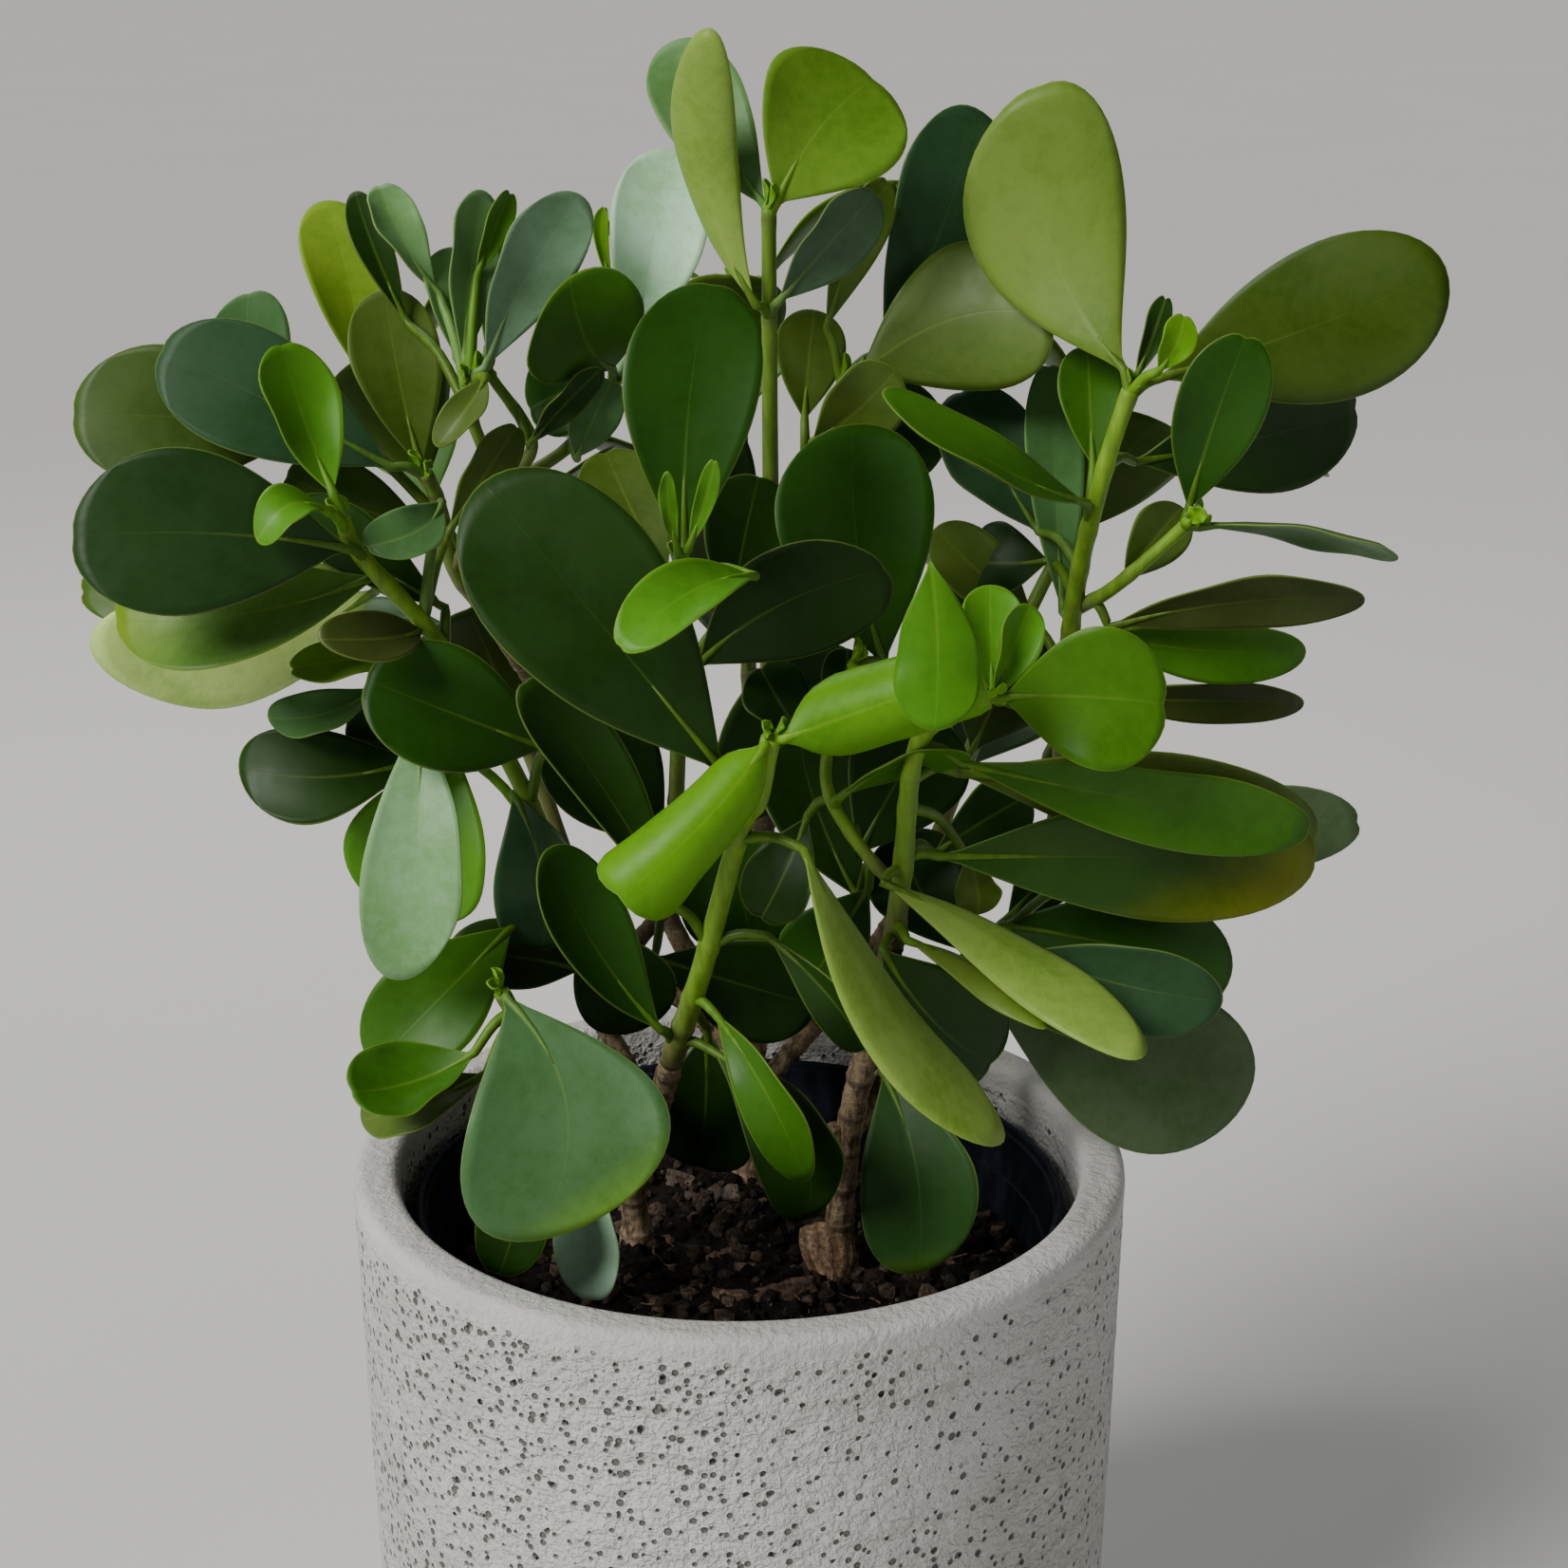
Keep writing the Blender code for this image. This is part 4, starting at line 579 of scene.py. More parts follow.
def blade_form(base_place, tip_place, edges, roll, arch, curl, name):
    """The blade that has its edges at the two given points of the photograph.

    Nearly edge-on, the arch is what carries it sideways, otherwise a sway does.
    """
    base, tip = from_photo(base_place), from_photo(tip_place)
    run_x, run_y = tip_place[0] - base_place[0], tip_place[1] - base_place[1]
    run = math.hypot(run_x, run_y)
    scale = ((base + tip) / 2 - EYE).dot(LOOK) / PHOTO_FOCAL
    low, high = sorted(
        ((y - base_place[1]) * run_x - (x - base_place[0]) * run_y) / run * scale for x, y in edges
    )
    foot, end, starts, stops = curl if isinstance(curl, tuple) else (curl * 1.3, curl * 0.7, *OPENING)
    foot, end = (math.radians(min(angle, STEEPEST_CURL)) for angle in (foot, end))
    curls = (foot, end, starts, stops)
    face, side = math.cos(math.radians(roll)), math.sin(math.radians(roll))
    bend = curl_at(curls, BLADE_WIDEST)
    half_width = (high - low) / 2 * bend / (abs(face) * math.sin(min(bend, math.pi / 2)))
    lift = half_width * (1 - math.cos(bend)) / bend
    bow = 4 * BLADE_WIDEST * (1 - BLADE_WIDEST)
    middle = (high + low) / 2
    arch, sway = arch * MM, 0.0
    if abs(face) < 0.5:
        arch = (middle / side - lift) / bow
    else:
        sway = ((middle - side * (lift + bow * arch)) / face) / bow
    twist = leaf_twist(name)
    return base, tip, half_width, arch, sway, curls, twist, leaf_frame(base, tip, roll)


def blade_point(blade, across_share, share):
    """The middle of the blade's thickness, and the normal there.

    across_share is -1 to 1 over the blade's greatest width, share 0 to 1 along it.
    """
    base, tip, half_width, arch, sway, curls, twist, axes = blade
    _, across, normal = axes
    turn = twist * (share - 0.5)
    out = across * math.cos(turn) + normal * math.sin(turn)
    face = normal * math.cos(turn) - across * math.sin(turn)
    curl = curl_at(curls, share)
    bend = across_share * curl
    bow = 4 * share * (1 - share)
    point = (
        base.lerp(tip, share)
        + normal * (bow * arch)
        + across * (bow * sway)
        + out * (half_width * math.sin(bend) / curl)
        + face * (half_width * (1 - math.cos(bend)) / curl)
    )
    return point, face * math.cos(bend) - out * math.sin(bend)


# The grid's top corners lie on the blade's round end, this far round from the tip
CORNER_TURN = math.radians(52)
BLADE_COLUMNS = 12
BLADE_ROWS = 18
BLADE_THICKNESS = 0.95 * MM
RIB_REACH = 0.3
RIB_RADII = [0.95 * MM, 0.75 * MM, 0.55 * MM, 0.3 * MM]
PETIOLE_RADIUS = 1.5 * MM
PETIOLE_TAPER = 0.35 * MM
STEM_SIDES = 10
STEM_STEP = 1.2 * MM


def add_leaf(whole, name, node, blade, tone):
    """A leaf: a grid bent to the blade's form and thickened, a petiole and its rib."""
    sheet = Sheet()
    shape = sheet.shape
    chance = random.Random(name)
    base, tip, half_width = blade[:3]
    normal = blade[-1][2]
    length = (tip - base).length
    upper, under = TONES[tone]
    shade = chance.uniform(0.86, 1.16)
    upper = tuple(channel * shade for channel in upper)
    wave = chance.uniform(0.2, 0.9) * MM
    waves = chance.uniform(1.1, 2.3)
    wave_start = chance.uniform(0, 2 * math.pi)
    lean = chance.uniform(-0.05, 0.05)
    # About half of the leaves have a notch in the tip
    notch = chance.choice((0.0, 0.0, 0.6, 1.1)) * MM
    out_layer = shape.verts.layers.float_vector.new("out")
    grid = bmesh.ops.create_grid(shape, x_segments=BLADE_COLUMNS, y_segments=BLADE_ROWS, size=1)["verts"]
    corner = BLADE_WIDEST + (1 - BLADE_WIDEST) * math.cos(CORNER_TURN)
    # v runs across the grid from -1 to 1, and s along it from 0 at the foot to 1 at the tip
    for vert in grid:
        v = vert.co.x
        s = (vert.co.y + 1) / 2
        edge_share = s * corner
        bow = (math.cos(v * CORNER_TURN) - math.cos(CORNER_TURN)) / (1 - math.cos(CORNER_TURN))
        share = edge_share + (s - edge_share) * bow
        share -= notch / length * s ** 8 * math.exp(-((v / 0.16) ** 2))
        reach = max(blade_half_width(edge_share), 0.04)
        x = reach * math.sin(v * CORNER_TURN) / math.sin(CORNER_TURN)
        x += lean * share * (1 - abs(x))
        point, out = blade_point(blade, x, share)
        # The two edges ripple out of step
        side_wave = wave_start + (1.9 if v > 0 else 0)
        ripple = wave * abs(x) ** 2 * math.sin(waves * 2 * math.pi * share + side_wave)
        crease = -0.4 * MM * math.exp(-((x * half_width / (1.6 * MM)) ** 2)) * (1 - 0.7 * share)
        edge = min((1 - abs(v)) * reach * half_width, (1 - s) * length)
        vert[out_layer] = out * (BLADE_THICKNESS * (0.4 + 0.6 * min(1.0, edge / (2.5 * MM))))
        vert.co = point + out * (ripple + crease)
        colour = upper
        if tone in PATCHES:
            patch_colour, start, patch_lean = PATCHES[tone]
            patch = max(0.0, min(1.0, (share - start + patch_lean * x) * 3))
            colour = mix_colour(upper, patch_colour, patch)
        sheet.paint(vert, colour, (x * half_width / MM, share * length / MM, edge / MM))
    made = bmesh.ops.extrude_face_region(shape, geom=list(shape.faces), use_keep_orig=True)["geom"]
    # The colour's fourth value is 1 on the upper face and 0 on the underside
    for vert in made:
        if isinstance(vert, bmesh.types.BMVert):
            vert.co -= vert[out_layer]
            vert[sheet.tint] = (*under, 0.0)
    bmesh.ops.recalc_face_normals(shape, faces=shape.faces)

    # The petiole runs from the stem to the blade's foot, and on under the blade as a rib
    if node:
        rib = []
        for step in range(1, 5):
            share = RIB_REACH * step / 4
            point, out = blade_point(blade, 0.0, share)
            rib.append(point - out * BLADE_THICKNESS * (0.55 + 0.1 * share))
        middle = node.lerp(base, 0.5) + Vector((0, 0, 1)) * (base - node).length * 0.12
        stalk = smooth_path([node, middle, base - normal * BLADE_THICKNESS * 0.4], 4)
        path = stalk + rib
        radii = [PETIOLE_RADIUS - PETIOLE_TAPER * index / len(stalk) for index in range(len(stalk))]
        green = mix_colour(upper, STEM_LIME, 0.38)
        tube(sheet, path, radii + RIB_RADII, [green] * len(path), 8, 1)
    whole.absorb(sheet)


def add_bud(sheet, name, point, ahead):
    """Two small folded leaves at a stem's end."""
    chance = random.Random(name)
    side = ahead.cross(Vector((chance.uniform(-1, 1), chance.uniform(-1, 1), 0.2))).normalized()
    for half in (-1, 1):
        base = point + side * (0.8 * MM * half) - ahead * 0.6 * MM
        tip = base + (ahead + side * (0.34 * half)).normalized() * chance.uniform(5, 8) * MM
        curls = (math.radians(80), math.radians(60), *OPENING)
        blade = (base, tip, 1.8 * MM, 0.5 * MM, 0.0, curls, 0.0, leaf_frame(base, tip, 70))
        add_leaf(sheet, name + str(half), point - ahead * MM, blade, "lime")


def stem_profile(path, first_radius, last_radius, nodes, young):
    """Radii and colours along a stem, thicker and ringed where its leaves stand."""
    lengths = [0.0]
    for before, after in zip(path, path[1:]):
        lengths.append(lengths[-1] + (after - before).length)
    total = lengths[-1]
    radii, colours = [], []
    for length in lengths:
        share = length / total
        radius = first_radius + (last_radius - first_radius) * share
        colour = mix_colour(STEM_BROWN, STEM_GREEN, min(1.0, share * (3.5 if young else 1.7)))
        if young:
            colour = mix_colour(colour, STEM_LIME, min(1.0, share * 1.2))
        near = min((abs(share - node) * total for node in nodes), default=1.0)
        swell = math.exp(-((near / (2.2 * MM)) ** 2))
        ring = math.exp(-((near / (0.7 * MM)) ** 2))
        radii.append(radius * (1 + 0.10 * swell))
        colours.append(mix_colour(colour, SCAR_COLOUR, ring * (0.2 if young else 0.6)))
    return radii, colours


def dense_path(path, step):
    """The same path with a point every step or so."""
    total = sum((b - a).length for a, b in zip(path, path[1:]))
    count = max(4, int(total / step))
    return [path_point(path, index / count) for index in range(count + 1)]


def leafy_shoot(name, seat, stems, leaves, tones, materials):
    """A green stem with its branches, a bud at each end, and its leaves."""
    sheet = Sheet()
    paths = []
    young = name in YOUNG_SHOOTS
    for index, (points, first_radius, last_radius) in enumerate(stems):
        places = [from_photo(point) for point in points]
        path = smooth_path(places, 6) if index else seated_path(seat, places, 6)
        rough = smooth_path(places, 2) if index else seated_path(seat, places, 2)
        paths.append(rough)
        nodes = [row[1] for row in leaves if row[0] == index]
        fine = dense_path(path, STEM_STEP)
        radii, colours = stem_profile(fine, first_radius * MM, last_radius * MM, nodes, young)
        tube(sheet, fine, radii, colours, STEM_SIDES, 1)
        add_bud(sheet, name + "bud" + str(index), fine[-1], (fine[-1] - fine[-2]).normalized())
    for index, (row, tone) in enumerate(zip(leaves, tones)):
        stem, share, base, tip, first_edge, second_edge, roll, arch, curl = row
        leaf_name = "%s_leaf_%02d" % (name, index)
        blade = blade_form(base, tip, (first_edge, second_edge), roll, arch, curl, leaf_name)
        node = None if stem is None else path_point(paths[stem], share)
        add_leaf(sheet, leaf_name, node, blade, tone)
    return finish_piece(name + "_leaves", sheet.shape, materials, name)


def back_shoot(name, seat, rule, materials):
    """A shoot with pairs of leaves, each pair turned a quarter from the last."""
    chance = random.Random(rule["seed"])
    start = Vector(rule["from"]) * MM
    end = Vector(rule["to"]) * MM
    lean = (end - start).normalized()
    middle = start.lerp(end, 0.5) + Vector((0, 0, 8 * MM))
    path = seated_path(seat, [middle, end], 3)
    sheet = Sheet()
    fine = dense_path(seated_path(seat, [middle, end], 8), STEM_STEP)
    nodes = [0.24 + 0.74 * pair / (BACK_PAIRS - 1) for pair in range(BACK_PAIRS)]
    radii, colours = stem_profile(fine, BACK_STEM_FOOT, BACK_STEM_END, nodes, False)
    tube(sheet, fine, radii, colours, STEM_SIDES, 1)
    add_bud(sheet, name + "bud", fine[-1], lean)
    side = lean.cross(Vector((0, 1, 0))).normalized()
    out = side.cross(lean).normalized()
    tones = ("dark", "deep", "mid", "bright")
    for pair in range(BACK_PAIRS):
        node = path_point(path, nodes[pair])
        turn = math.radians(90 * pair + 90 + chance.uniform(-14, 14))
        for half in (0, 1):
            angle = turn + math.pi * half
            outward = side * math.cos(angle) + out * math.sin(angle)
            forward = max(0.0, -outward.y)
            aim = (outward + lean * (chance.uniform(0.3, 0.55) + 1.1 * forward)).normalized()
            length = (BACK_LEAF_LENGTH - 4 * pair) * chance.uniform(0.9, 1.1) * (1 - 0.3 * forward) * MM
            base = node + aim * BACK_PETIOLE * MM
            tip = base + aim * length
            _, across, normal = leaf_frame(base, tip, 0)
            roll = math.degrees(math.atan2(lean.dot(across), lean.dot(normal)))
            width = (BACK_LEAF_WIDTH - 2 * pair) * chance.uniform(0.92, 1.08)
            leaf_name = "%s_leaf_%d_%d" % (name, pair, half)
            twist = leaf_twist(leaf_name)
            curls = (math.radians(26), math.radians(14), *OPENING)
            axes = leaf_frame(base, tip, roll)
            blade = (base, tip, width * MM / 2, 5 * MM, 0.0, curls, twist, axes)
            add_leaf(sheet, leaf_name, node, blade, tones[pair])
    return finish_piece(name + "_leaves", sheet.shape, materials, name)


# Woody stems

FOOT_CLEARANCE = 4 * MM
COLLAR_HEIGHT = 3 * MM
BACK_FORK_RADII = (2.8 * MM, 2.5 * MM)
# Rings stand this far apart along a branch
RING_GAP = 11 * MM
RING_COLOUR = (0.150, 0.105, 0.062)
LOW_BARK = (0.46, 0.33, 0.195)
HIGH_BARK = (0.125, 0.104, 0.052)


def wood_foot(points):
    """Where a trunk ends, a little above the bottom of its hole in the soil."""
    start = from_photo(points[0])
    return Vector((start.x, start.y, SOIL_LEVEL - SOIL_HOLE_DEPTH + FOOT_CLEARANCE))


def wood_path(points, index, steps=2):
    """A branch's points; the first branch also goes straight down into the soil."""
    places = [from_photo(point) for point in points]
    if index:
        return smooth_path(places, steps)
    foot = wood_foot(points)
    collar = Vector((foot.x, foot.y, SOIL_LEVEL + SOIL_DOME + COLLAR_HEIGHT))
    return [foot] + smooth_path([collar] + places[1:], steps)


def woody_branches(name, steps=2):
    """Each branch's path and radii; the back stem also forks to the shoots behind."""
    branches = [
        (wood_path(points, index, steps), first_radius * MM, last_radius * MM)
        for index, (points, first_radius, last_radius) in enumerate(WOOD[name])
    ]
    if name == "woody_stem_back":
        trunk = wood_path(WOOD[name][0][0], 0)
        for rule in BACK_SHOOTS.values():
            fork = path_point(trunk, rule["fork"])
            end = Vector(rule["from"]) * MM
            bend = fork.lerp(end, 0.55) + Vector((0, 0, -4 * MM))
            branches.append((smooth_path([fork, bend, end], steps), *BACK_FORK_RADII))
    return branches


def seated_path(seat, points, steps):
    """A green stem's path from the end face of the woody branch that carries it."""
    name, index = seat
    wood = woody_branches(name)[index][0]
    ahead = (wood[-1] - wood[-2]).normalized()
    foot = wood[-1] + ahead * GAP
    return [foot] + smooth_path([foot + ahead * 2 * MM] + points, steps)


def bark_tint(height):
    """Tan near the soil, dull olive brown higher up among the leaves."""
    share = smooth_step(POT_HEIGHT, POT_HEIGHT + 70 * MM, height)
    return mix_colour(LOW_BARK, HIGH_BARK, share)


def woody_stem(name, material):
    """Brown branches with rings where old leaves stood, and bark that isn't quite round."""
    sheet = Sheet()
    for index, (path, first_radius, last_radius) in enumerate(woody_branches(name, 6)):
        chance = random.Random(name + str(index))
        fine = dense_path(path, 0.8 * MM)
        radii, colours = [], []
        total = sum((b - a).length for a, b in zip(fine, fine[1:]))
        for step in range(len(fine)):
            share = step / (len(fine) - 1)
            length = share * total
            phase = (length / RING_GAP) % 1.0
            ring = math.exp(-(((phase - 0.5) * RING_GAP / (0.8 * MM)) ** 2))
            radius = first_radius + (last_radius - first_radius) * share
            if not index:
                radius += 1.6 * MM * math.exp(-((length - SOIL_HOLE_DEPTH * 0.8) / (7 * MM)) ** 2)
            radii.append(radius * (1 + 0.12 * ring) + chance.uniform(-0.08, 0.08) * MM)
            colours.append(mix_colour(bark_tint(fine[step].z), RING_COLOUR, ring))
        loops = tube(sheet, fine, radii, colours, 14)
        for loop, point in zip(loops, fine):
            for vert in loop:
                bump = noise.noise(vert.co * 420) * 0.28 * MM + noise.noise(vert.co * 1300) * 0.1 * MM
                vert.co += (vert.co - point).normalized() * bump
    return finish_piece(name + "_bark", sheet.shape, [material], name)


# Cover pot

WALL_COLUMNS = 330
WALL_ROWS = 100
FOOT_ROWS = 9
RIM_ROWS = 6
FOOT_ROUND = 2.5 * MM
SHOULDER_ROUND = 3.2 * MM
LIP_ROUND = 3.6 * MM
# Corners of the wall's grid lie off its lines by up to this share of a cell
GRID_SCATTER = 0.22
# A pit's radius in mm, and the share of the pits that have it
PIT_SIZES = ((0.6, 0.22), (0.74, 0.28), (0.88, 0.26), (1.02, 0.17), (1.25, 0.07))


def pot_profile():
    """(radius, height) for each row of the pot's mesh, from under the foot to the floor inside."""
    foot, rim, mouth, top = POT_FOOT_RADIUS, POT_RIM_RADIUS, POT_MOUTH_RADIUS, POT_HEIGHT
    low, high = FOOT_ROUND, top - SHOULDER_ROUND
    rows = [(foot * share, 0.0) for share in (0.05, 0.3, 0.6, 0.85, 0.95)]
    rows += [
        (foot - FOOT_ROUND + FOOT_ROUND * math.sin(turn), FOOT_ROUND - FOOT_ROUND * math.cos(turn))
        for turn in (0.0, 0.5, 1.05, 1.57)
    ]
    for row in range(1, WALL_ROWS):
        share = row / WALL_ROWS
        rows.append((foot + (rim - foot) * share, low + (high - low) * share))
    shoulder = rim - SHOULDER_ROUND
    rows += [
        (shoulder + SHOULDER_ROUND * math.cos(turn), high + SHOULDER_ROUND * math.sin(turn))
        for turn in (0.0, 0.3, 0.6, 0.9, 1.25, 1.57)
    ]
    rows += [(shoulder - (shoulder - mouth - LIP_ROUND) * share, top) for share in (0.33, 0.66)]
    lip = mouth + LIP_ROUND
    lip_foot = top - LIP_ROUND
    rows += [
        (lip - LIP_ROUND * math.sin(turn), lip_foot + LIP_ROUND * math.cos(turn))
        for turn in (0.0, 0.35, 0.7, 1.05, 1.57)
    ]
    inner_low = POT_FLOOR + 5 * MM
    rows += [
        (mouth + (foot - 12 * MM - mouth) * share, lip_foot + (inner_low - top + LIP_ROUND) * share)
        for share in (0.02, 0.05, 0.1, 0.16, 0.24, 0.4, 0.6, 0.8, 1.0)
    ]
    floor_edge = foot - 17 * MM
    rows += [(floor_edge, POT_FLOOR), (floor_edge * 0.5, POT_FLOOR), (4 * MM, POT_FLOOR)]
    return rows


def pit_chance(point):
    """How likely a pit is at a place on the wall: in drifts, and none at the rim."""
    if not 6 * MM < point.z < POT_HEIGHT - 5.5 * MM:
        return 0.0
    drift = noise.noise(Vector((point.x * 26, point.y * 26, point.z * 34)))
    fine = noise.noise(point * 120 + Vector((7, 3, 1)))
    left = -0.85 * point.x / POT_RIM_RADIUS - 0.3 * point.y / POT_RIM_RADIUS
    return max(0.03, 0.26 + 0.3 * drift + 0.25 * fine + 0.16 * left)


def cover_pot(material):
    """A wrapped grid from foot to floor, with round pits pressed into its wall.

    A pit starts at a corner of the grid. The corner is dissolved, the face that is left is
    poked, and the new corner is bevelled to a ring of the pit's size and set in.
    """
    sheet = Sheet()
    shape = sheet.shape
    rows = pot_profile()
    count = len(rows) - 1
    chance = random.Random(5)
    grid = bmesh.ops.create_grid(shape, x_segments=WALL_COLUMNS, y_segments=count, size=1)["verts"]
    column_width = 2 * math.pi / WALL_COLUMNS
    last_wall = FOOT_ROWS + WALL_ROWS - 1
    for vert in grid:
        column = (vert.co.x + 1) / 2 * WALL_COLUMNS
        row = round((vert.co.y + 1) / 2 * count)
        radius, height = rows[row]
        turn = column * column_width
        wall = FOOT_ROWS < row < last_wall
        if wall and 0.5 < column < WALL_COLUMNS - 0.5:
            turn += chance.uniform(-GRID_SCATTER, GRID_SCATTER) * column_width
            height += chance.uniform(-GRID_SCATTER, GRID_SCATTER) * POT_HEIGHT / WALL_ROWS
        spot = Vector((radius * math.cos(turn), radius * math.sin(turn), height))
        if row >= FOOT_ROWS:
            swell = noise.noise(spot * 22) * 0.35 + noise.noise(spot * 90) * 0.16
            if wall:
                swell += noise.noise(spot * 300) * 0.3
                swell += noise.noise(Vector((spot.x * 60, spot.y * 60, spot.z * 460))) * 0.3
            hold = 0.6 if row < last_wall + RIM_ROWS else 0.2
            spot += Vector((math.cos(turn), math.sin(turn), 0)) * (swell - 0.3) * MM * hold
        vert.co = spot
        sheet.paint(vert, (0.0, 0.0, 0.0))
    bmesh.ops.remove_doubles(shape, verts=shape.verts, dist=0.02 * MM)
    bmesh.ops.recalc_face_normals(shape, faces=shape.faces)
    bmesh.ops.holes_fill(
        shape, edges=[edge for edge in shape.edges if edge.is_boundary], sides=WALL_COLUMNS + 1
    )

    taken = set()
    centres = [[] for _ in PIT_SIZES]
    for vert in list(shape.verts):
        if math.hypot(vert.co.x, vert.co.y) < POT_FOOT_RADIUS - 2 * MM or len(vert.link_faces) != 4:
            continue
        if chance.random() > pit_chance(vert.co):
            continue
        near = {corner for face in vert.link_faces for corner in face.verts}
        if near & taken:
            continue
        taken |= near
        pick = chance.choices(range(len(PIT_SIZES)), [share for size, share in PIT_SIZES])[0]
        centres[pick].append(vert.co.copy())
        vert.tag = True
    chosen = [vert for vert in shape.verts if vert.tag]
    bmesh.ops.dissolve_verts(shape, verts=chosen)
    eights = [face for face in shape.faces if len(face.verts) == 8]
    middles = bmesh.ops.poke(shape, faces=eights)["verts"]
    for middle in middles:
        middle.tag = True
    sizes = [pick for pick, spots in enumerate(centres) for _ in spots]
    chance.shuffle(sizes)
    groups = [[] for _ in PIT_SIZES]
    for middle, pick in zip(middles, sizes):
        groups[pick].append(middle)
    for (size, share), group in zip(PIT_SIZES, groups):
        discs = bmesh.ops.bevel(
            shape, geom=group, offset=size * MM, offset_type="OFFSET", affect="VERTICES", segments=1,
            profile=0.5, material=-1, clamp_overlap=True,
        )["faces"]
        discs = [face for face in discs if len(face.verts) == 8]
        for face in discs:
            centre = face.calc_center_median()
            for vert in face.verts:
                vert.co += (vert.co - centre) * chance.uniform(-0.12, 0.06)
        bmesh.ops.inset_individual(
            shape, faces=discs, thickness=size * 0.24 * MM, depth=-size * 0.85 * MM, use_even_offset=False
        )
        # The pit floors are marked here for the painted shade that the concrete lays in them
        for face in discs:
            for vert in face.verts:
                sheet.paint(vert, (1.0, 1.0, 1.0))
    return finish_piece("cover_pot_concrete", shape, [material], "cover_pot", 60)


# Nursery pot

NURSERY_TOP = POT_HEIGHT - NURSERY_RIM_DEPTH
NURSERY_BAND = NURSERY_TOP - 14 * MM
NURSERY_FLOOR = NURSERY_FOOT + 2 * MM
NURSERY_STEPS = 216
NURSERY_RIBS = 54
RIB_HEIGHT = 0.16 * MM


def nursery_radius(height):
    """The outside of the wall below the band."""
    share = (height - NURSERY_FOOT) / (NURSERY_TOP - NURSERY_FOOT)
    return NURSERY_FOOT_RADIUS + (NURSERY_RIM_RADIUS - NURSERY_LIP - NURSERY_FOOT_RADIUS) * share


def nursery_pot(material):
    """A spun profile with a turned-out band at the rim and fine upright ribs."""
    foot, top, band, floor = NURSERY_FOOT, NURSERY_TOP, NURSERY_BAND, NURSERY_FLOOR
    rim, wall, foot_edge = NURSERY_RIM_RADIUS, NURSERY_WALL, NURSERY_FOOT_RADIUS
    outside = [
        (4 * MM, foot),
        (foot_edge - 2 * MM, foot),
        (foot_edge - 0.6 * MM, foot + 0.6 * MM),
        (foot_edge, floor),
        (nursery_radius(band), band),
        (rim - 0.4 * MM, band + 1 * MM),
        (rim, band + 1.6 * MM),
        (rim, top - 1.2 * MM),
        (rim - 0.25 * MM, top - 0.35 * MM),
        (rim - 0.8 * MM, top),
    ]
    inside = [
        (rim - wall * 0.8, top - 0.1 * MM),
        (rim - wall, top - 0.5 * MM),
        (rim - wall - 0.1 * MM, top - 2.2 * MM),
        (rim - wall - 0.9 * MM, top - 2.8 * MM),
        (rim - wall - 1.1 * MM, top - 7 * MM),
        (rim - NURSERY_LIP - wall, band - 3 * MM),
        (nursery_radius(foot + 60 * MM) - wall, foot + 60 * MM),
        (nursery_radius(foot + 4 * MM) - wall, foot + 4 * MM),
        (nursery_radius(floor) - wall - 2 * MM, floor),
        (4 * MM, floor),
    ]
    sheet = Sheet()
    shape = sheet.shape
    verts = [shape.verts.new((radius, 0, height)) for radius, height in outside + inside]
    for first, second in zip(verts, verts[1:]):
        shape.edges.new((first, second))
    bmesh.ops.spin(
        shape, geom=list(shape.verts) + list(shape.edges), cent=(0, 0, 0), axis=(0, 0, 1),
        angle=2 * math.pi, steps=NURSERY_STEPS, use_merge=True,
    )
    rims = [edge for edge in shape.edges if edge.is_boundary]
    bmesh.ops.holes_fill(shape, edges=rims, sides=NURSERY_STEPS + 1)
    bmesh.ops.recalc_face_normals(shape, faces=shape.faces)
    for vert in shape.verts:
        turn = math.atan2(vert.co.y, vert.co.x)
        away = Vector((math.cos(turn), math.sin(turn), 0))
        if foot + 10 * MM < vert.co.z < top - 3 * MM:
            vert.co += away * RIB_HEIGHT * math.cos(turn * NURSERY_RIBS)
        sheet.paint(vert, (0, 0, 0))
    return finish_piece("nursery_pot_plastic", shape, [material], "nursery_pot", 40)


# Soil

SOIL_RADIUS = 76.6 * MM
SOIL_COLOUR = (0.009, 0.006, 0.0045)
SOIL_SEGMENTS = 130
SOIL_BATCHES = 10
CRUMBS, CHIPS, FIBRES = 190, 9, 2


def soil_height(x, y):
    """The lumpy top of the soil, which rises a little towards the middle."""
    spot = Vector((x, y, 0))
    radius = math.hypot(x, y)
    height = SOIL_LEVEL + SOIL_DOME * (1 - (radius / SOIL_RADIUS) ** 2) - 0.4 * MM
    height += noise.noise(spot * 55) * 1.5 * MM + noise.noise(spot * 170) * 0.9 * MM
    height += noise.noise(spot * 420) * 0.9 * MM
    return height


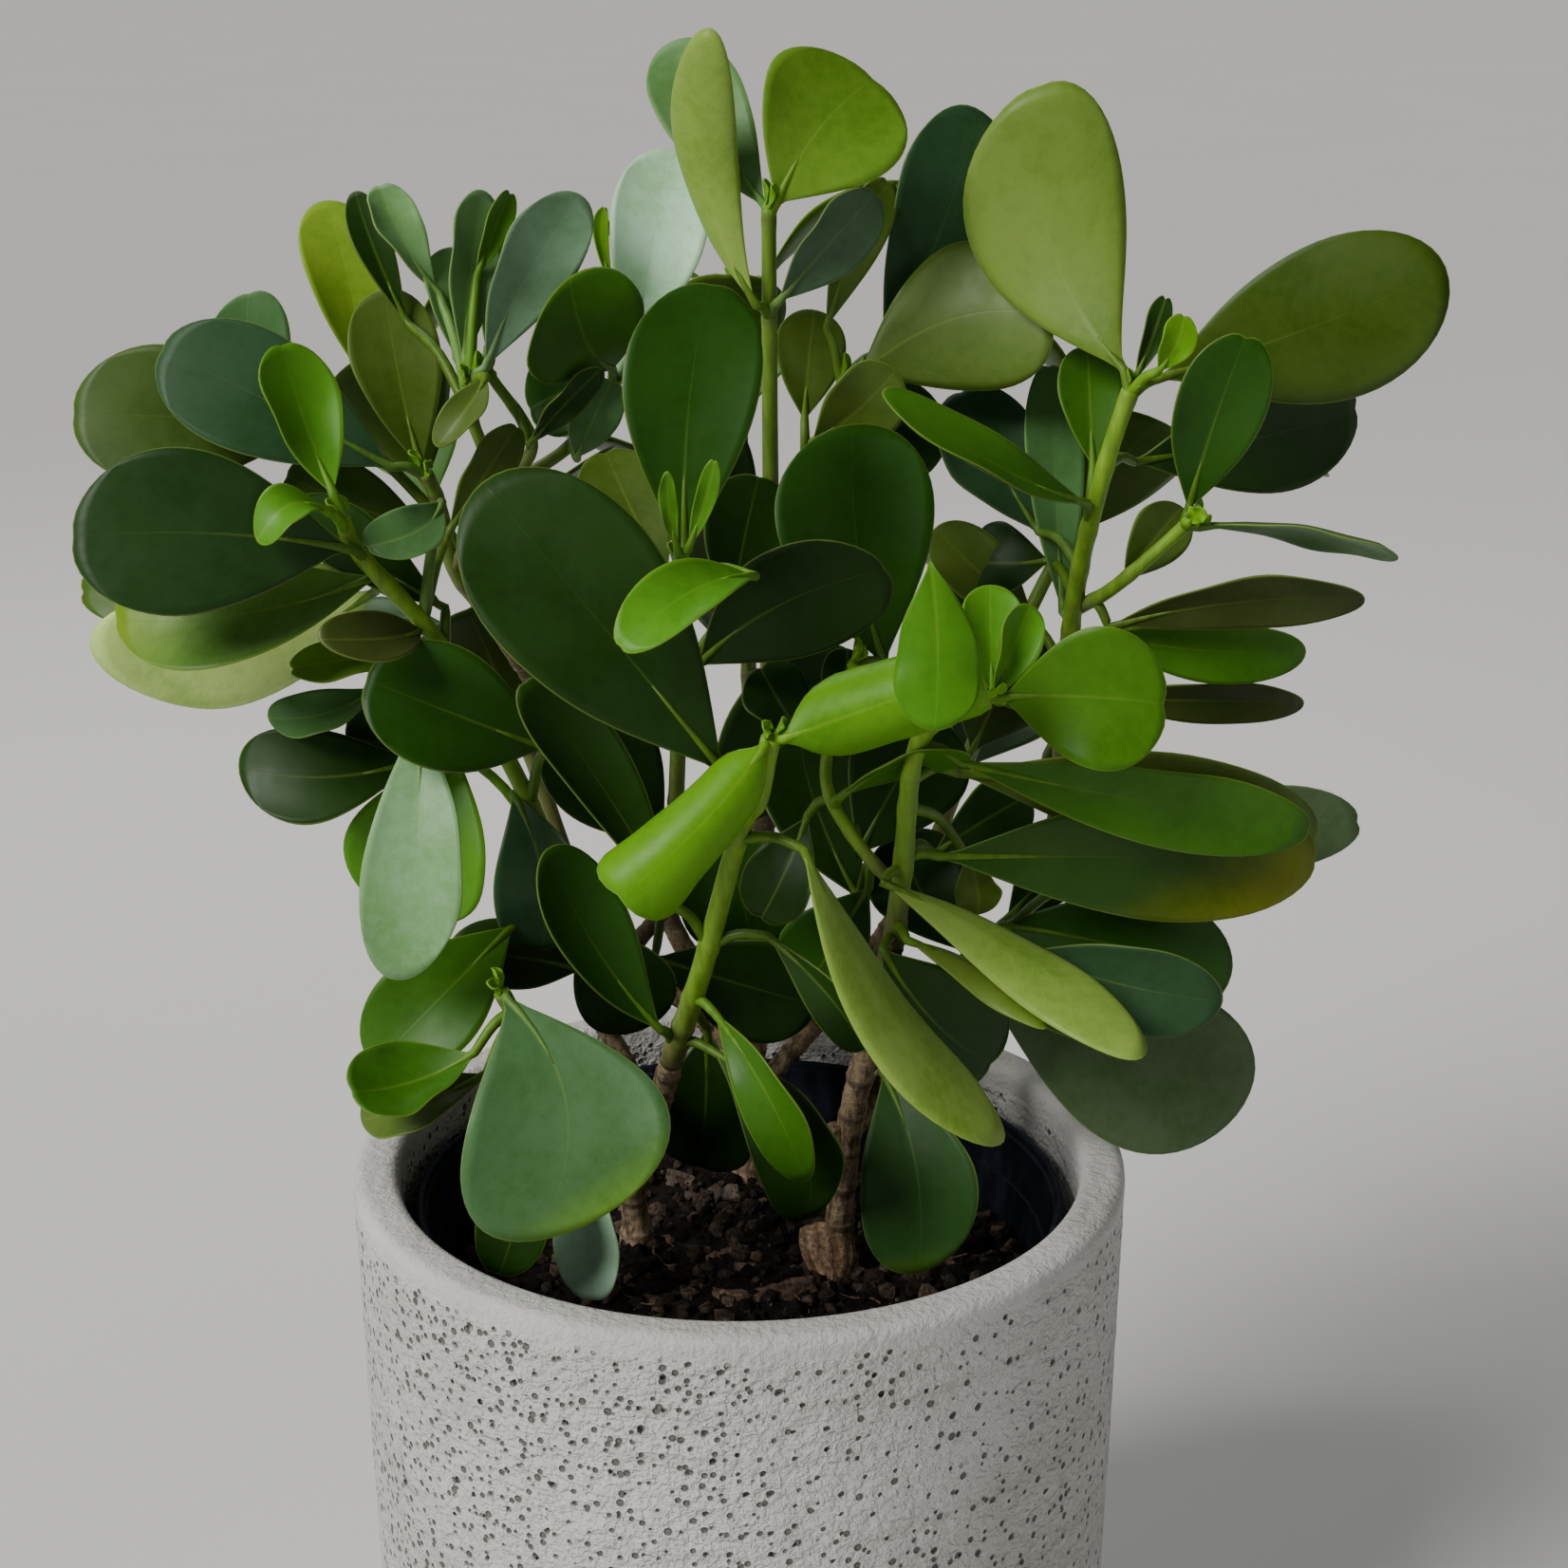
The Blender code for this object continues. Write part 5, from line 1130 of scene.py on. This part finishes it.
def soil(soil_material, chip_material):
    """A round, lumpy top over a tapering block, with chips, crumbs and roots lying on it."""
    sheet = Sheet()
    shape = sheet.shape
    chance = random.Random(31)
    grid = bmesh.ops.create_grid(shape, x_segments=SOIL_SEGMENTS, y_segments=SOIL_SEGMENTS, size=1)["verts"]
    for vert in grid:
        u, v = vert.co.x, vert.co.y
        x = SOIL_RADIUS * u * math.sqrt(1 - v * v / 2)
        y = SOIL_RADIUS * v * math.sqrt(1 - u * u / 2)
        vert.co = Vector((x, y, soil_height(x, y)))
        sheet.paint(vert, SOIL_COLOUR)
    rim = [edge for edge in shape.edges if edge.is_boundary]
    walls = bmesh.ops.extrude_edge_only(shape, edges=rim)["geom"]
    low = [item for item in walls if isinstance(item, bmesh.types.BMVert)]
    base = NURSERY_FOOT + 3 * MM
    shrink = (NURSERY_FOOT_RADIUS - 3.2 * MM) / SOIL_RADIUS
    for vert in low:
        vert.co = Vector((vert.co.x * shrink, vert.co.y * shrink, base))
    base_rim = [edge for edge in shape.edges if edge.is_boundary]
    bmesh.ops.holes_fill(shape, edges=base_rim, sides=4 * SOIL_SEGMENTS)
    bmesh.ops.recalc_face_normals(shape, faces=shape.faces)
    batch = Sheet()
    large_chips(batch, chance)
    leaning_flake(batch, chance)
    sheet.absorb(batch)
    for scatter in (crumbs, bark_chips, fibres):
        for _ in range(SOIL_BATCHES):
            batch = Sheet()
            scatter(batch, chance)
            sheet.absorb(batch)
    return finish_piece("soil_and_chips", shape, [soil_material, chip_material], "soil", 50)


def soil_spot(chance, margin=4 * MM):
    """A random place on the soil."""
    radius = (SOIL_RADIUS - margin) * math.sqrt(chance.random())
    turn = chance.uniform(0, 2 * math.pi)
    return radius * math.cos(turn), radius * math.sin(turn)


def crumbs(sheet, chance):
    """Small lumps of peat."""
    for _ in range(CRUMBS):
        x, y = soil_spot(chance, 2 * MM)
        size = (0.5 + 2.4 * chance.random() ** 3) * MM
        spot = Vector((x, y, soil_height(x, y) + size * 0.3))
        ball = bmesh.ops.create_icosphere(
            sheet.shape, subdivisions=1, radius=size, matrix=Matrix.Translation(spot)
        )["verts"]
        tint = mix_colour(SOIL_COLOUR, (0.120, 0.090, 0.068), chance.random() ** 3)
        for vert in ball:
            vert.co += Vector([chance.uniform(-0.3, 0.3) * size for _ in range(3)])
            sheet.paint(vert, tint)


def faces_on(verts):
    """The faces that meet at the vertices, in an order that is the same each run."""
    return list(dict.fromkeys(face for vert in verts for face in vert.link_faces))


def add_chip(sheet, chance, spot, length, width, height, turn, tint):
    """A flake of bark: a small grid with a broken outline, thickened and warped."""
    lie = Matrix.Rotation(turn, 4, "Z") @ Matrix.Rotation(chance.uniform(-0.35, 0.35), 4, "Y")
    lie = lie @ Matrix.Rotation(chance.uniform(-0.3, 0.3), 4, "X")
    scale = Matrix.Diagonal((length, width, height, 1))
    flat = bmesh.ops.create_grid(
        sheet.shape, x_segments=4, y_segments=2, size=0.5, matrix=Matrix.Translation(spot) @ lie @ scale
    )["verts"]
    for vert in flat:
        vert.co += Vector([chance.uniform(-0.14, 0.14) * width for _ in range(3)])
    made = bmesh.ops.solidify(sheet.shape, geom=faces_on(flat), thickness=height)["geom"]
    corners = set(flat) | {item for item in made if isinstance(item, bmesh.types.BMVert)}
    sheet.shape.verts.index_update()
    for vert in sorted(corners, key=lambda corner: corner.index):
        vert.co += Vector([chance.uniform(-0.25, 0.25) * height for _ in range(3)])
        sheet.paint(vert, mix_colour(tint, CHIP_SHADE, chance.random() * 0.5))
        for face in vert.link_faces:
            face.material_index = 1


def soil_place(pixel):
    """The spot on the soil that a pixel of the photograph shows."""
    near, far = from_photo((*pixel, 90)), from_photo((*pixel, -90))
    level = SOIL_LEVEL + SOIL_DOME * 0.5
    spot = near.lerp(far, (near.z - level) / (near.z - far.z))
    return Vector((spot.x, spot.y, soil_height(spot.x, spot.y)))


CHIP_SHADE = (0.04, 0.025, 0.015)
# Large pieces of bark in the photograph: pixel, then length, width and height in mm,
# the turn on the soil in degrees, and the colour
LARGE_CHIPS = (
    ((812, 1366), 22, 7, 4.0, 4, (0.150, 0.105, 0.072)),
    ((742, 1352), 9, 5, 2.5, 60, (0.110, 0.078, 0.055)),
    ((764, 1262), 8, 6, 4.0, 20, (0.120, 0.100, 0.080)),
    ((722, 1244), 10, 5, 3.5, -10, (0.170, 0.145, 0.115)),
    ((788, 1318), 7, 4, 3.0, 40, (0.090, 0.070, 0.055)),
    ((900, 1352), 9, 5, 3.0, -30, (0.120, 0.085, 0.060)),
)


def large_chips(sheet, chance):
    """The pieces of bark that the photograph shows."""
    for pixel, length, width, height, turn, tint in LARGE_CHIPS:
        spot = soil_place(pixel) + Vector((0, 0, height * 0.25 * MM))
        add_chip(sheet, chance, spot, length * MM, width * MM, height * MM, math.radians(turn), tint)


FLAKE_PLACE = (878, 1350)
FLAKE_SUNK = 2 * MM
FLAKE_HEIGHT = 18 * MM
FLAKE_RIDGE, FLAKE_FURROW, FLAKE_BACK = (0.62, 0.43, 0.28), (0.27, 0.17, 0.10), (0.20, 0.125, 0.075)


def leaning_flake(sheet, chance):
    """A ridged flake of bark that stands in the soil and leans on the right trunk."""
    foot = soil_place(FLAKE_PLACE) - Vector((0, 0, FLAKE_SUNK))
    columns, rows = 12, 9
    flat = bmesh.ops.create_grid(sheet.shape, x_segments=columns, y_segments=rows, size=0.5)["verts"]
    for vert in flat:
        across = 2 * round((vert.co.x + 0.5) * columns) / columns - 1
        share = round((vert.co.y + 0.5) * rows) / rows
        half = (2.2 + 5.0 * math.sin(min(1.0, share * 1.2) * math.pi * 0.5) - 1.2 * share ** 4) * MM
        ridge = math.cos(across * 11)
        vert.co = foot + Vector((
            across * half - share * 2.6 * MM,
            share * 4 * MM - (1 - across * across) * 1.6 * MM - ridge * 0.32 * MM,
            share * FLAKE_HEIGHT - across * across * share * 2.8 * MM,
        ))
        vert.co += Vector([chance.uniform(-0.16, 0.16) * MM for _ in range(3)])
        sheet.paint(vert, mix_colour(FLAKE_RIDGE, FLAKE_FURROW, 0.5 - 0.5 * ridge))
    made = bmesh.ops.solidify(sheet.shape, geom=faces_on(flat), thickness=1.1 * MM)["geom"]
    backs = [item for item in made if isinstance(item, bmesh.types.BMVert)]
    for vert in backs:
        sheet.paint(vert, FLAKE_BACK)
    for face in faces_on(flat + backs):
        face.material_index = 1


def bark_chips(sheet, chance):
    """Small flakes of bark, strewn over the soil."""
    for _ in range(CHIPS):
        x, y = soil_spot(chance)
        length = (3 + 7 * chance.random() ** 2) * MM
        width = length * chance.uniform(0.3, 0.6)
        height = chance.uniform(0.8, 2.2) * MM
        tint = mix_colour((0.040, 0.026, 0.017), (0.20, 0.135, 0.09), chance.random() ** 2)
        add_chip(
            sheet, chance, Vector((x, y, soil_height(x, y) + height * 0.35)), length, width, height,
            chance.uniform(0, math.pi), tint
        )


def fibres(sheet, chance):
    """Thin dry roots that lie over the soil."""
    for _ in range(FIBRES):
        x, y = soil_spot(chance, 12 * MM)
        turn = chance.uniform(0, 2 * math.pi)
        points = []
        for _ in range(5):
            points.append(Vector((x, y, soil_height(x, y) + chance.uniform(0.4, 1.8) * MM)))
            turn += chance.uniform(-0.6, 0.6)
            x += math.cos(turn) * 3 * MM
            y += math.sin(turn) * 3 * MM
        path = smooth_path(points, 2)
        tint = mix_colour((0.10, 0.06, 0.035), (0.30, 0.22, 0.15), chance.random())
        tube(sheet, path, [0.22 * MM] * len(path), [tint] * len(path), 4, 1)


# Materials

class Graph:
    """Short calls for wiring a material's nodes."""

    def __init__(self, name):
        self.material = bpy.data.materials.new(name)
        self.material.use_nodes = True
        self.nodes = self.material.node_tree.nodes
        self.links = self.material.node_tree.links
        self.shader = self.nodes["Principled BSDF"]

    def node(self, kind, **values):
        item = self.nodes.new(kind)
        for key, value in values.items():
            setattr(item, key, value)
        return item

    def put(self, value, socket):
        if isinstance(value, bpy.types.NodeSocket):
            self.links.new(value, socket)
        else:
            socket.default_value = value

    def maths(self, operation, first, second=0.0, clamp=False):
        item = self.node("ShaderNodeMath", operation=operation, use_clamp=clamp)
        self.put(first, item.inputs[0])
        self.put(second, item.inputs[1])
        return item.outputs[0]

    def plus(self, first, second):
        return self.maths("ADD", first, second)

    def minus(self, first, second):
        return self.maths("SUBTRACT", first, second)

    def times(self, first, second):
        return self.maths("MULTIPLY", first, second)

    def mix(self, share, first, second, blend="MIX"):
        """The second colour over the first, as far as share says."""
        item = self.node("ShaderNodeMix", data_type="RGBA", blend_type=blend)
        self.put(share, item.inputs["Factor"])
        for colour, socket in ((first, item.inputs[6]), (second, item.inputs[7])):
            self.put((*colour, 1.0) if isinstance(colour, tuple) else colour, socket)
        return item.outputs[2]

    def lay(self, colour, share, strength, second):
        """The second colour laid over the first, where share says, up to strength."""
        return self.mix(self.times(share, strength), colour, second)

    def scaled(self, colour, factors):
        """The colour with its red, green and blue each made stronger or weaker."""
        return self.mix(1.0, colour, factors, "MULTIPLY")

    def spread(self, value, low, high, to_low=0.0, to_high=1.0):
        item = self.node("ShaderNodeMapRange", interpolation_type="SMOOTHSTEP")
        self.put(value, item.inputs["Value"])
        item.inputs["From Min"].default_value = low
        item.inputs["From Max"].default_value = high
        item.inputs["To Min"].default_value = to_low
        item.inputs["To Max"].default_value = to_high
        return item.outputs["Result"]

    def attribute(self, name, output):
        return self.node("ShaderNodeAttribute", attribute_name=name).outputs[output]

    def coordinates(self, scale=(1, 1, 1)):
        place = self.node("ShaderNodeTexCoord").outputs["Object"]
        if scale == (1, 1, 1):
            return place
        mapping = self.node("ShaderNodeMapping")
        mapping.inputs["Scale"].default_value = scale
        self.links.new(place, mapping.inputs["Vector"])
        return mapping.outputs["Vector"]

    def noise(self, scale, detail=3.0, vector=None, roughness=0.55):
        item = self.node("ShaderNodeTexNoise")
        item.inputs["Scale"].default_value = scale
        item.inputs["Detail"].default_value = detail
        item.inputs["Roughness"].default_value = roughness
        self.links.new(vector or self.coordinates(), item.inputs["Vector"])
        return item.outputs["Fac"]

    def cells(self, scale, vector=None):
        """Distance to the nearest of many scattered points, and that point's random colour."""
        item = self.node("ShaderNodeTexVoronoi")
        item.inputs["Scale"].default_value = scale
        self.links.new(vector or self.coordinates(), item.inputs["Vector"])
        split = self.node("ShaderNodeSeparateColor")
        self.links.new(item.outputs["Color"], split.inputs[0])
        return item.outputs["Distance"], split.outputs[0], split.outputs[1]

    def bump(self, height, strength, distance, before=None):
        item = self.node("ShaderNodeBump")
        item.inputs["Strength"].default_value = strength
        item.inputs["Distance"].default_value = distance
        self.put(height, item.inputs["Height"])
        if before:
            self.links.new(before, item.inputs["Normal"])
        return item.outputs["Normal"]

    def done(self, colour, roughness, normal, specular=0.5):
        self.put(colour, self.shader.inputs["Base Color"])
        self.put(roughness, self.shader.inputs["Roughness"])
        self.links.new(normal, self.shader.inputs["Normal"])
        self.shader.inputs["Specular IOR Level"].default_value = specular
        return self.material


def leaf_material():
    """Waxy green with a pale edge line, a light midrib and faint slanting veins."""
    graph = Graph("leaf_wax_green")
    tint = graph.attribute("tint", "Color")
    upper = graph.attribute("tint", "Alpha")
    place = graph.node("ShaderNodeSeparateXYZ")
    graph.links.new(graph.attribute("place", "Vector"), place.inputs[0])
    across = graph.maths("ABSOLUTE", place.outputs[0])
    along, edge = place.outputs[1], place.outputs[2]
    broad = graph.noise(38, 2)
    mottle = graph.noise(340, 4)
    speck = graph.noise(1700, 2)
    wobble = graph.times(graph.noise(140, 2), 2.2)
    slant = graph.minus(along, graph.times(across, 0.9))
    wave = graph.maths("SINE", graph.times(graph.plus(slant, wobble), 1.5))
    veins = graph.spread(wave, 0.6, 1.0)
    midrib_width = graph.maths("MAXIMUM", graph.minus(0.8, graph.times(along, 0.013)), 0.1)
    midrib = graph.maths("SUBTRACT", 1.0, graph.maths("DIVIDE", across, midrib_width), clamp=True)
    fade = graph.spread(along, 12.0, 42.0, 0.55, 0.16)
    margin = graph.spread(edge, 0.08, 0.5, 1.0, 0.0)
    glow = graph.spread(edge, 0.5, 11.0, 1.0, 0.0)
    deep = graph.scaled(tint, (0.78, 0.88, 0.6))
    light = graph.scaled(tint, (1.3, 1.22, 1.35))
    bloom = graph.mix(1.0, light, (0.003, 0.005, 0.0035), "ADD")
    cloud = graph.plus(graph.times(broad, 0.8), graph.times(mottle, 0.2))
    colour = graph.mix(graph.spread(cloud, 0.3, 0.66), deep, bloom)
    colour = graph.lay(colour, graph.spread(mottle, 0.4, 0.7), 0.3, light)
    colour = graph.lay(colour, graph.spread(mottle, 0.52, 0.3), 0.15, deep)
    colour = graph.lay(colour, glow, 0.15, light)
    colour = graph.lay(colour, veins, graph.spread(upper, 0.0, 1.0, 0.20, 0.12), bloom)
    colour = graph.lay(colour, graph.spread(speck, 0.52, 0.72), 0.35, light)
    colour = graph.lay(colour, graph.spread(speck, 0.48, 0.28), 0.25, deep)
    pale = graph.mix(0.5, graph.scaled(tint, (1.6, 1.5, 1.6)), MARGIN_COLOUR)
    colour = graph.lay(colour, midrib, fade, pale)
    colour = graph.lay(colour, margin, 0.75, pale)
    roughness = graph.spread(graph.noise(90, 3), 0.3, 0.7, 0.38, 0.5)
    height = graph.plus(graph.times(veins, 0.10), graph.times(mottle, 0.5))
    height = graph.minus(height, graph.times(midrib, 0.8))
    normal = graph.bump(height, 0.3, 0.1 * MM)
    normal = graph.bump(broad, 0.35, 0.8 * MM, normal)
    return graph.done(colour, roughness, normal, 0.2)


def stem_material():
    """Green stem skin with short upright streaks and small corky spots."""
    graph = Graph("stem_green")
    tint = graph.attribute("tint", "Color")
    streak = graph.noise(420, 3, graph.coordinates((1, 1, 0.18)))
    spots = graph.noise(900, 2)
    dark = graph.scaled(tint, (0.82, 0.82, 0.78))
    light = graph.scaled(tint, (1.2, 1.18, 1.15))
    colour = graph.mix(graph.spread(streak, 0.3, 0.7), dark, light)
    cork = graph.times(graph.spread(spots, 0.66, 0.72), 0.5)
    colour = graph.mix(cork, colour, (0.22, 0.17, 0.10))
    normal = graph.bump(graph.plus(streak, cork), 0.3, 0.12 * MM)
    return graph.done(colour, graph.spread(streak, 0.3, 0.7, 0.42, 0.56), normal, 0.35)


def bark_material():
    """Brown bark in small plates, crossed by pale lines."""
    graph = Graph("bark_grey_brown")
    tint = graph.attribute("tint", "Color")
    plates = graph.noise(500, 4, graph.coordinates((1, 1, 0.35)), 0.7)
    lines = graph.noise(700, 3, graph.coordinates((0.3, 0.3, 1.6)), 0.6)
    colour = graph.mix(graph.spread(plates, 0.35, 0.62), (0.095, 0.065, 0.040), tint)
    colour = graph.lay(colour, graph.spread(lines, 0.55, 0.7), 0.55, (0.34, 0.28, 0.20))
    height = graph.plus(plates, graph.times(lines, 0.7))
    return graph.done(colour, 0.82, graph.bump(height, 0.9, 0.6 * MM), 0.3)


def concrete_material():
    """Cast concrete: cloudy light grey, sandy grain and hairline cracks, with painted shade in its pits and
    small hollows.
    """
    graph = Graph("concrete_cast_grey")
    pit = graph.attribute("tint", "Fac")
    cloud = graph.noise(14, 4)
    grain = graph.noise(1100, 4, None, 0.7)
    sand = graph.noise(420, 3)
    bands = graph.noise(60, 3, graph.coordinates((0.12, 0.12, 3.2)))
    scratch = graph.noise(420, 2, graph.coordinates((0.3, 0.3, 1.4)))
    patchy = graph.spread(graph.noise(60, 3), 0.42, 0.58)
    place = graph.node("ShaderNodeSeparateXYZ")
    graph.links.new(graph.coordinates(), place.inputs[0])
    below_rim = graph.spread(place.outputs[2], POT_HEIGHT - 8 * MM, POT_HEIGHT - 5 * MM, 1.0, 0.0)
    crack = graph.times(graph.times(graph.spread(scratch, 0.64, 0.70), patchy), below_rim)
    # Small hollows between the cut pits, most of them on the left, sunk by bump and darkened with painted
    # shade
    nearness, present, width = graph.cells(360)
    drift = graph.minus(graph.noise(24, 2), graph.times(place.outputs[0], 2.0))
    wanted = graph.spread(drift, 0.3, 0.68, 0.84, 0.2)
    chosen = graph.spread(graph.minus(present, wanted), 0.0, 0.01)
    reach = graph.plus(graph.times(width, 0.16), 0.26)
    hollow = graph.spread(graph.minus(nearness, reach), -0.15, 0.0, 1.0, 0.0)
    hollow = graph.times(graph.times(hollow, chosen), below_rim)
    colour = graph.mix(graph.spread(cloud, 0.3, 0.7), (0.545, 0.528, 0.502), (0.70, 0.684, 0.660))
    colour = graph.lay(colour, graph.spread(sand, 0.4, 0.65), 0.25, (0.72, 0.71, 0.68))
    colour = graph.lay(colour, graph.spread(bands, 0.52, 0.68), 0.16, (0.28, 0.26, 0.23))
    colour = graph.lay(colour, graph.spread(grain, 0.45, 0.3), 0.3, (0.24, 0.22, 0.19))
    colour = graph.lay(colour, crack, 0.14, (0.22, 0.205, 0.18))
    # Painted shade in the small hollows
    colour = graph.lay(colour, hollow, 0.85, (0.075, 0.070, 0.061))
    # Painted shade on the pit floors, as if in their own shadow
    colour = graph.lay(colour, pit, 0.7, (0.125, 0.117, 0.104))
    stroke = graph.noise(230, 3, graph.coordinates((0.5, 0.5, 1.0)), 0.65)
    chips = graph.noise(520, 3, None, 0.6)
    height = graph.plus(graph.times(grain, 0.35), graph.times(sand, 0.7))
    relief = graph.plus(graph.spread(stroke, 0.42, 0.62), graph.spread(chips, 0.38, 0.6))
    relief = graph.times(relief, graph.spread(below_rim, 0.0, 1.0, 0.25, 1.0))
    height = graph.plus(height, graph.times(relief, 0.34))
    height = graph.minus(height, graph.times(crack, 0.35))
    height = graph.minus(height, graph.times(hollow, 1.3))
    return graph.done(colour, 0.86, graph.bump(height, 1.0, 1.2 * MM), 0.25)


def plastic_material():
    """Blue-black plastic, scuffed upright and dusty in places."""
    graph = Graph("nursery_plastic_blue_black")
    scuff = graph.noise(300, 4, graph.coordinates((1, 1, 0.25)))
    dust = graph.noise(70, 3)
    colour = graph.mix(graph.spread(scuff, 0.4, 0.7), (0.005, 0.007, 0.013), (0.014, 0.019, 0.032))
    colour = graph.lay(colour, graph.spread(dust, 0.55, 0.75), 0.2, (0.06, 0.058, 0.055))
    roughness = graph.spread(scuff, 0.3, 0.7, 0.68, 0.82)
    return graph.done(colour, roughness, graph.bump(scuff, 0.3, 0.2 * MM), 0.15)


def soil_material():
    """Dark peat, crumbly and lumpy."""
    graph = Graph("soil_dark_peat")
    tint = graph.attribute("tint", "Color")
    crumb = graph.noise(900, 5, None, 0.75)
    lump = graph.noise(240, 3)
    dark = graph.scaled(tint, (0.45, 0.42, 0.4))
    light = graph.scaled(tint, (2.0, 1.9, 1.8))
    colour = graph.mix(graph.spread(crumb, 0.35, 0.62), dark, light)
    colour = graph.lay(colour, graph.spread(lump, 0.6, 0.72), 0.35, (0.040, 0.029, 0.021))
    return graph.done(colour, 0.93, graph.bump(graph.plus(crumb, lump), 1.0, 1.2 * MM), 0.2)


def chip_material():
    """Bark chips with coarse fibres."""
    graph = Graph("bark_chip")
    tint = graph.attribute("tint", "Color")
    fibre = graph.noise(700, 4, graph.coordinates((1, 0.35, 1)), 0.7)
    dark = graph.scaled(tint, (0.5, 0.46, 0.42))
    light = graph.scaled(tint, (1.5, 1.45, 1.4))
    colour = graph.mix(graph.spread(fibre, 0.35, 0.65), dark, light)
    return graph.done(colour, 0.88, graph.bump(fibre, 0.8, 0.5 * MM), 0.25)


def floor_material():
    """Pale, nearly even studio floor."""
    graph = Graph("floor_pale")
    colour = graph.mix(graph.noise(3, 2), (0.70, 0.69, 0.67), (0.73, 0.72, 0.70))
    return graph.done(colour, 0.7, graph.bump(graph.noise(200, 2), 0.05, 0.2 * MM), 0.3)


# Studio

FLOOR_REACH = 30
AIR_COLOUR = (0.95, 0.97, 1.0, 1.0)
AIR_STRENGTH = 0.14
PLANT_MIDDLE = (0, 0, 0.32)
# Name, kind, place, size, power and colour of each lamp
LAMPS = (
    ("key", "SUN", (-1.0, -0.7, 1.25), math.radians(28), 3.4, (1.0, 0.99, 0.96)),
    ("fill", "AREA", (0.9, -1.0, 0.7), 0.8, 0.55, (0.97, 0.98, 1.0)),
    ("back", "AREA", (-0.4, 1.0, 1.2), 0.8, 6, (1.0, 1.0, 1.0)),
)


def add_floor():
    shape = bmesh.new()
    bmesh.ops.create_grid(shape, x_segments=1, y_segments=1, size=FLOOR_REACH)
    mesh = bpy.data.meshes.new("studio_floor")
    shape.to_mesh(mesh)
    shape.free()
    floor = bpy.data.objects.new("studio_floor", mesh)
    bpy.context.scene.collection.objects.link(floor)
    mesh.materials.append(floor_material())


def add_light(name, kind, place, size, power, colour):
    """A soft sun, whose size is an angle, or an area light, whose size is its side."""
    lamp = bpy.data.lights.new(name, kind)
    lamp.energy = power
    lamp.color = colour
    if kind == "SUN":
        lamp.angle = size
    else:
        lamp.size = size
    light = bpy.data.objects.new(name, lamp)
    bpy.context.scene.collection.objects.link(light)
    light.location = place
    light.rotation_euler = (Vector(PLANT_MIDDLE) - Vector(place)).to_track_quat("-Z", "Y").to_euler()


def add_studio():
    world = bpy.data.worlds.new("studio_air")
    world.use_nodes = True
    background = world.node_tree.nodes["Background"]
    background.inputs["Color"].default_value = AIR_COLOUR
    background.inputs["Strength"].default_value = AIR_STRENGTH
    bpy.context.scene.world = world
    for lamp in LAMPS:
        add_light(*lamp)


def add_camera():
    lens = bpy.data.cameras.new("photo_camera")
    lens.sensor_width = 36
    lens.lens = lens.sensor_width * PHOTO_FOCAL / PHOTO_SIZE
    lens.clip_start = 0.01
    camera = bpy.data.objects.new("photo_camera", lens)
    bpy.context.scene.collection.objects.link(camera)
    turn = Matrix((LOOK_RIGHT, LOOK_UP, -LOOK)).transposed()
    camera.matrix_world = Matrix.Translation(EYE) @ turn.to_4x4()
    bpy.context.scene.camera = camera


def build():
    add_camera()
    add_studio()
    add_floor()
    green = [leaf_material(), stem_material()]
    bark = bark_material()
    cover_pot(concrete_material())
    nursery_pot(plastic_material())
    soil(soil_material(), chip_material())
    for name in WOOD:
        woody_stem(name, bark)
    for name, shoot in SHOOTS.items():
        leafy_shoot(name, shoot["seat"], shoot["stems"], shoot["leaves"], shoot["tones"], green)
    for index, (name, rule) in enumerate(BACK_SHOOTS.items()):
        back_shoot(name, ("woody_stem_back", len(WOOD["woody_stem_back"]) + index), rule, green)


build()
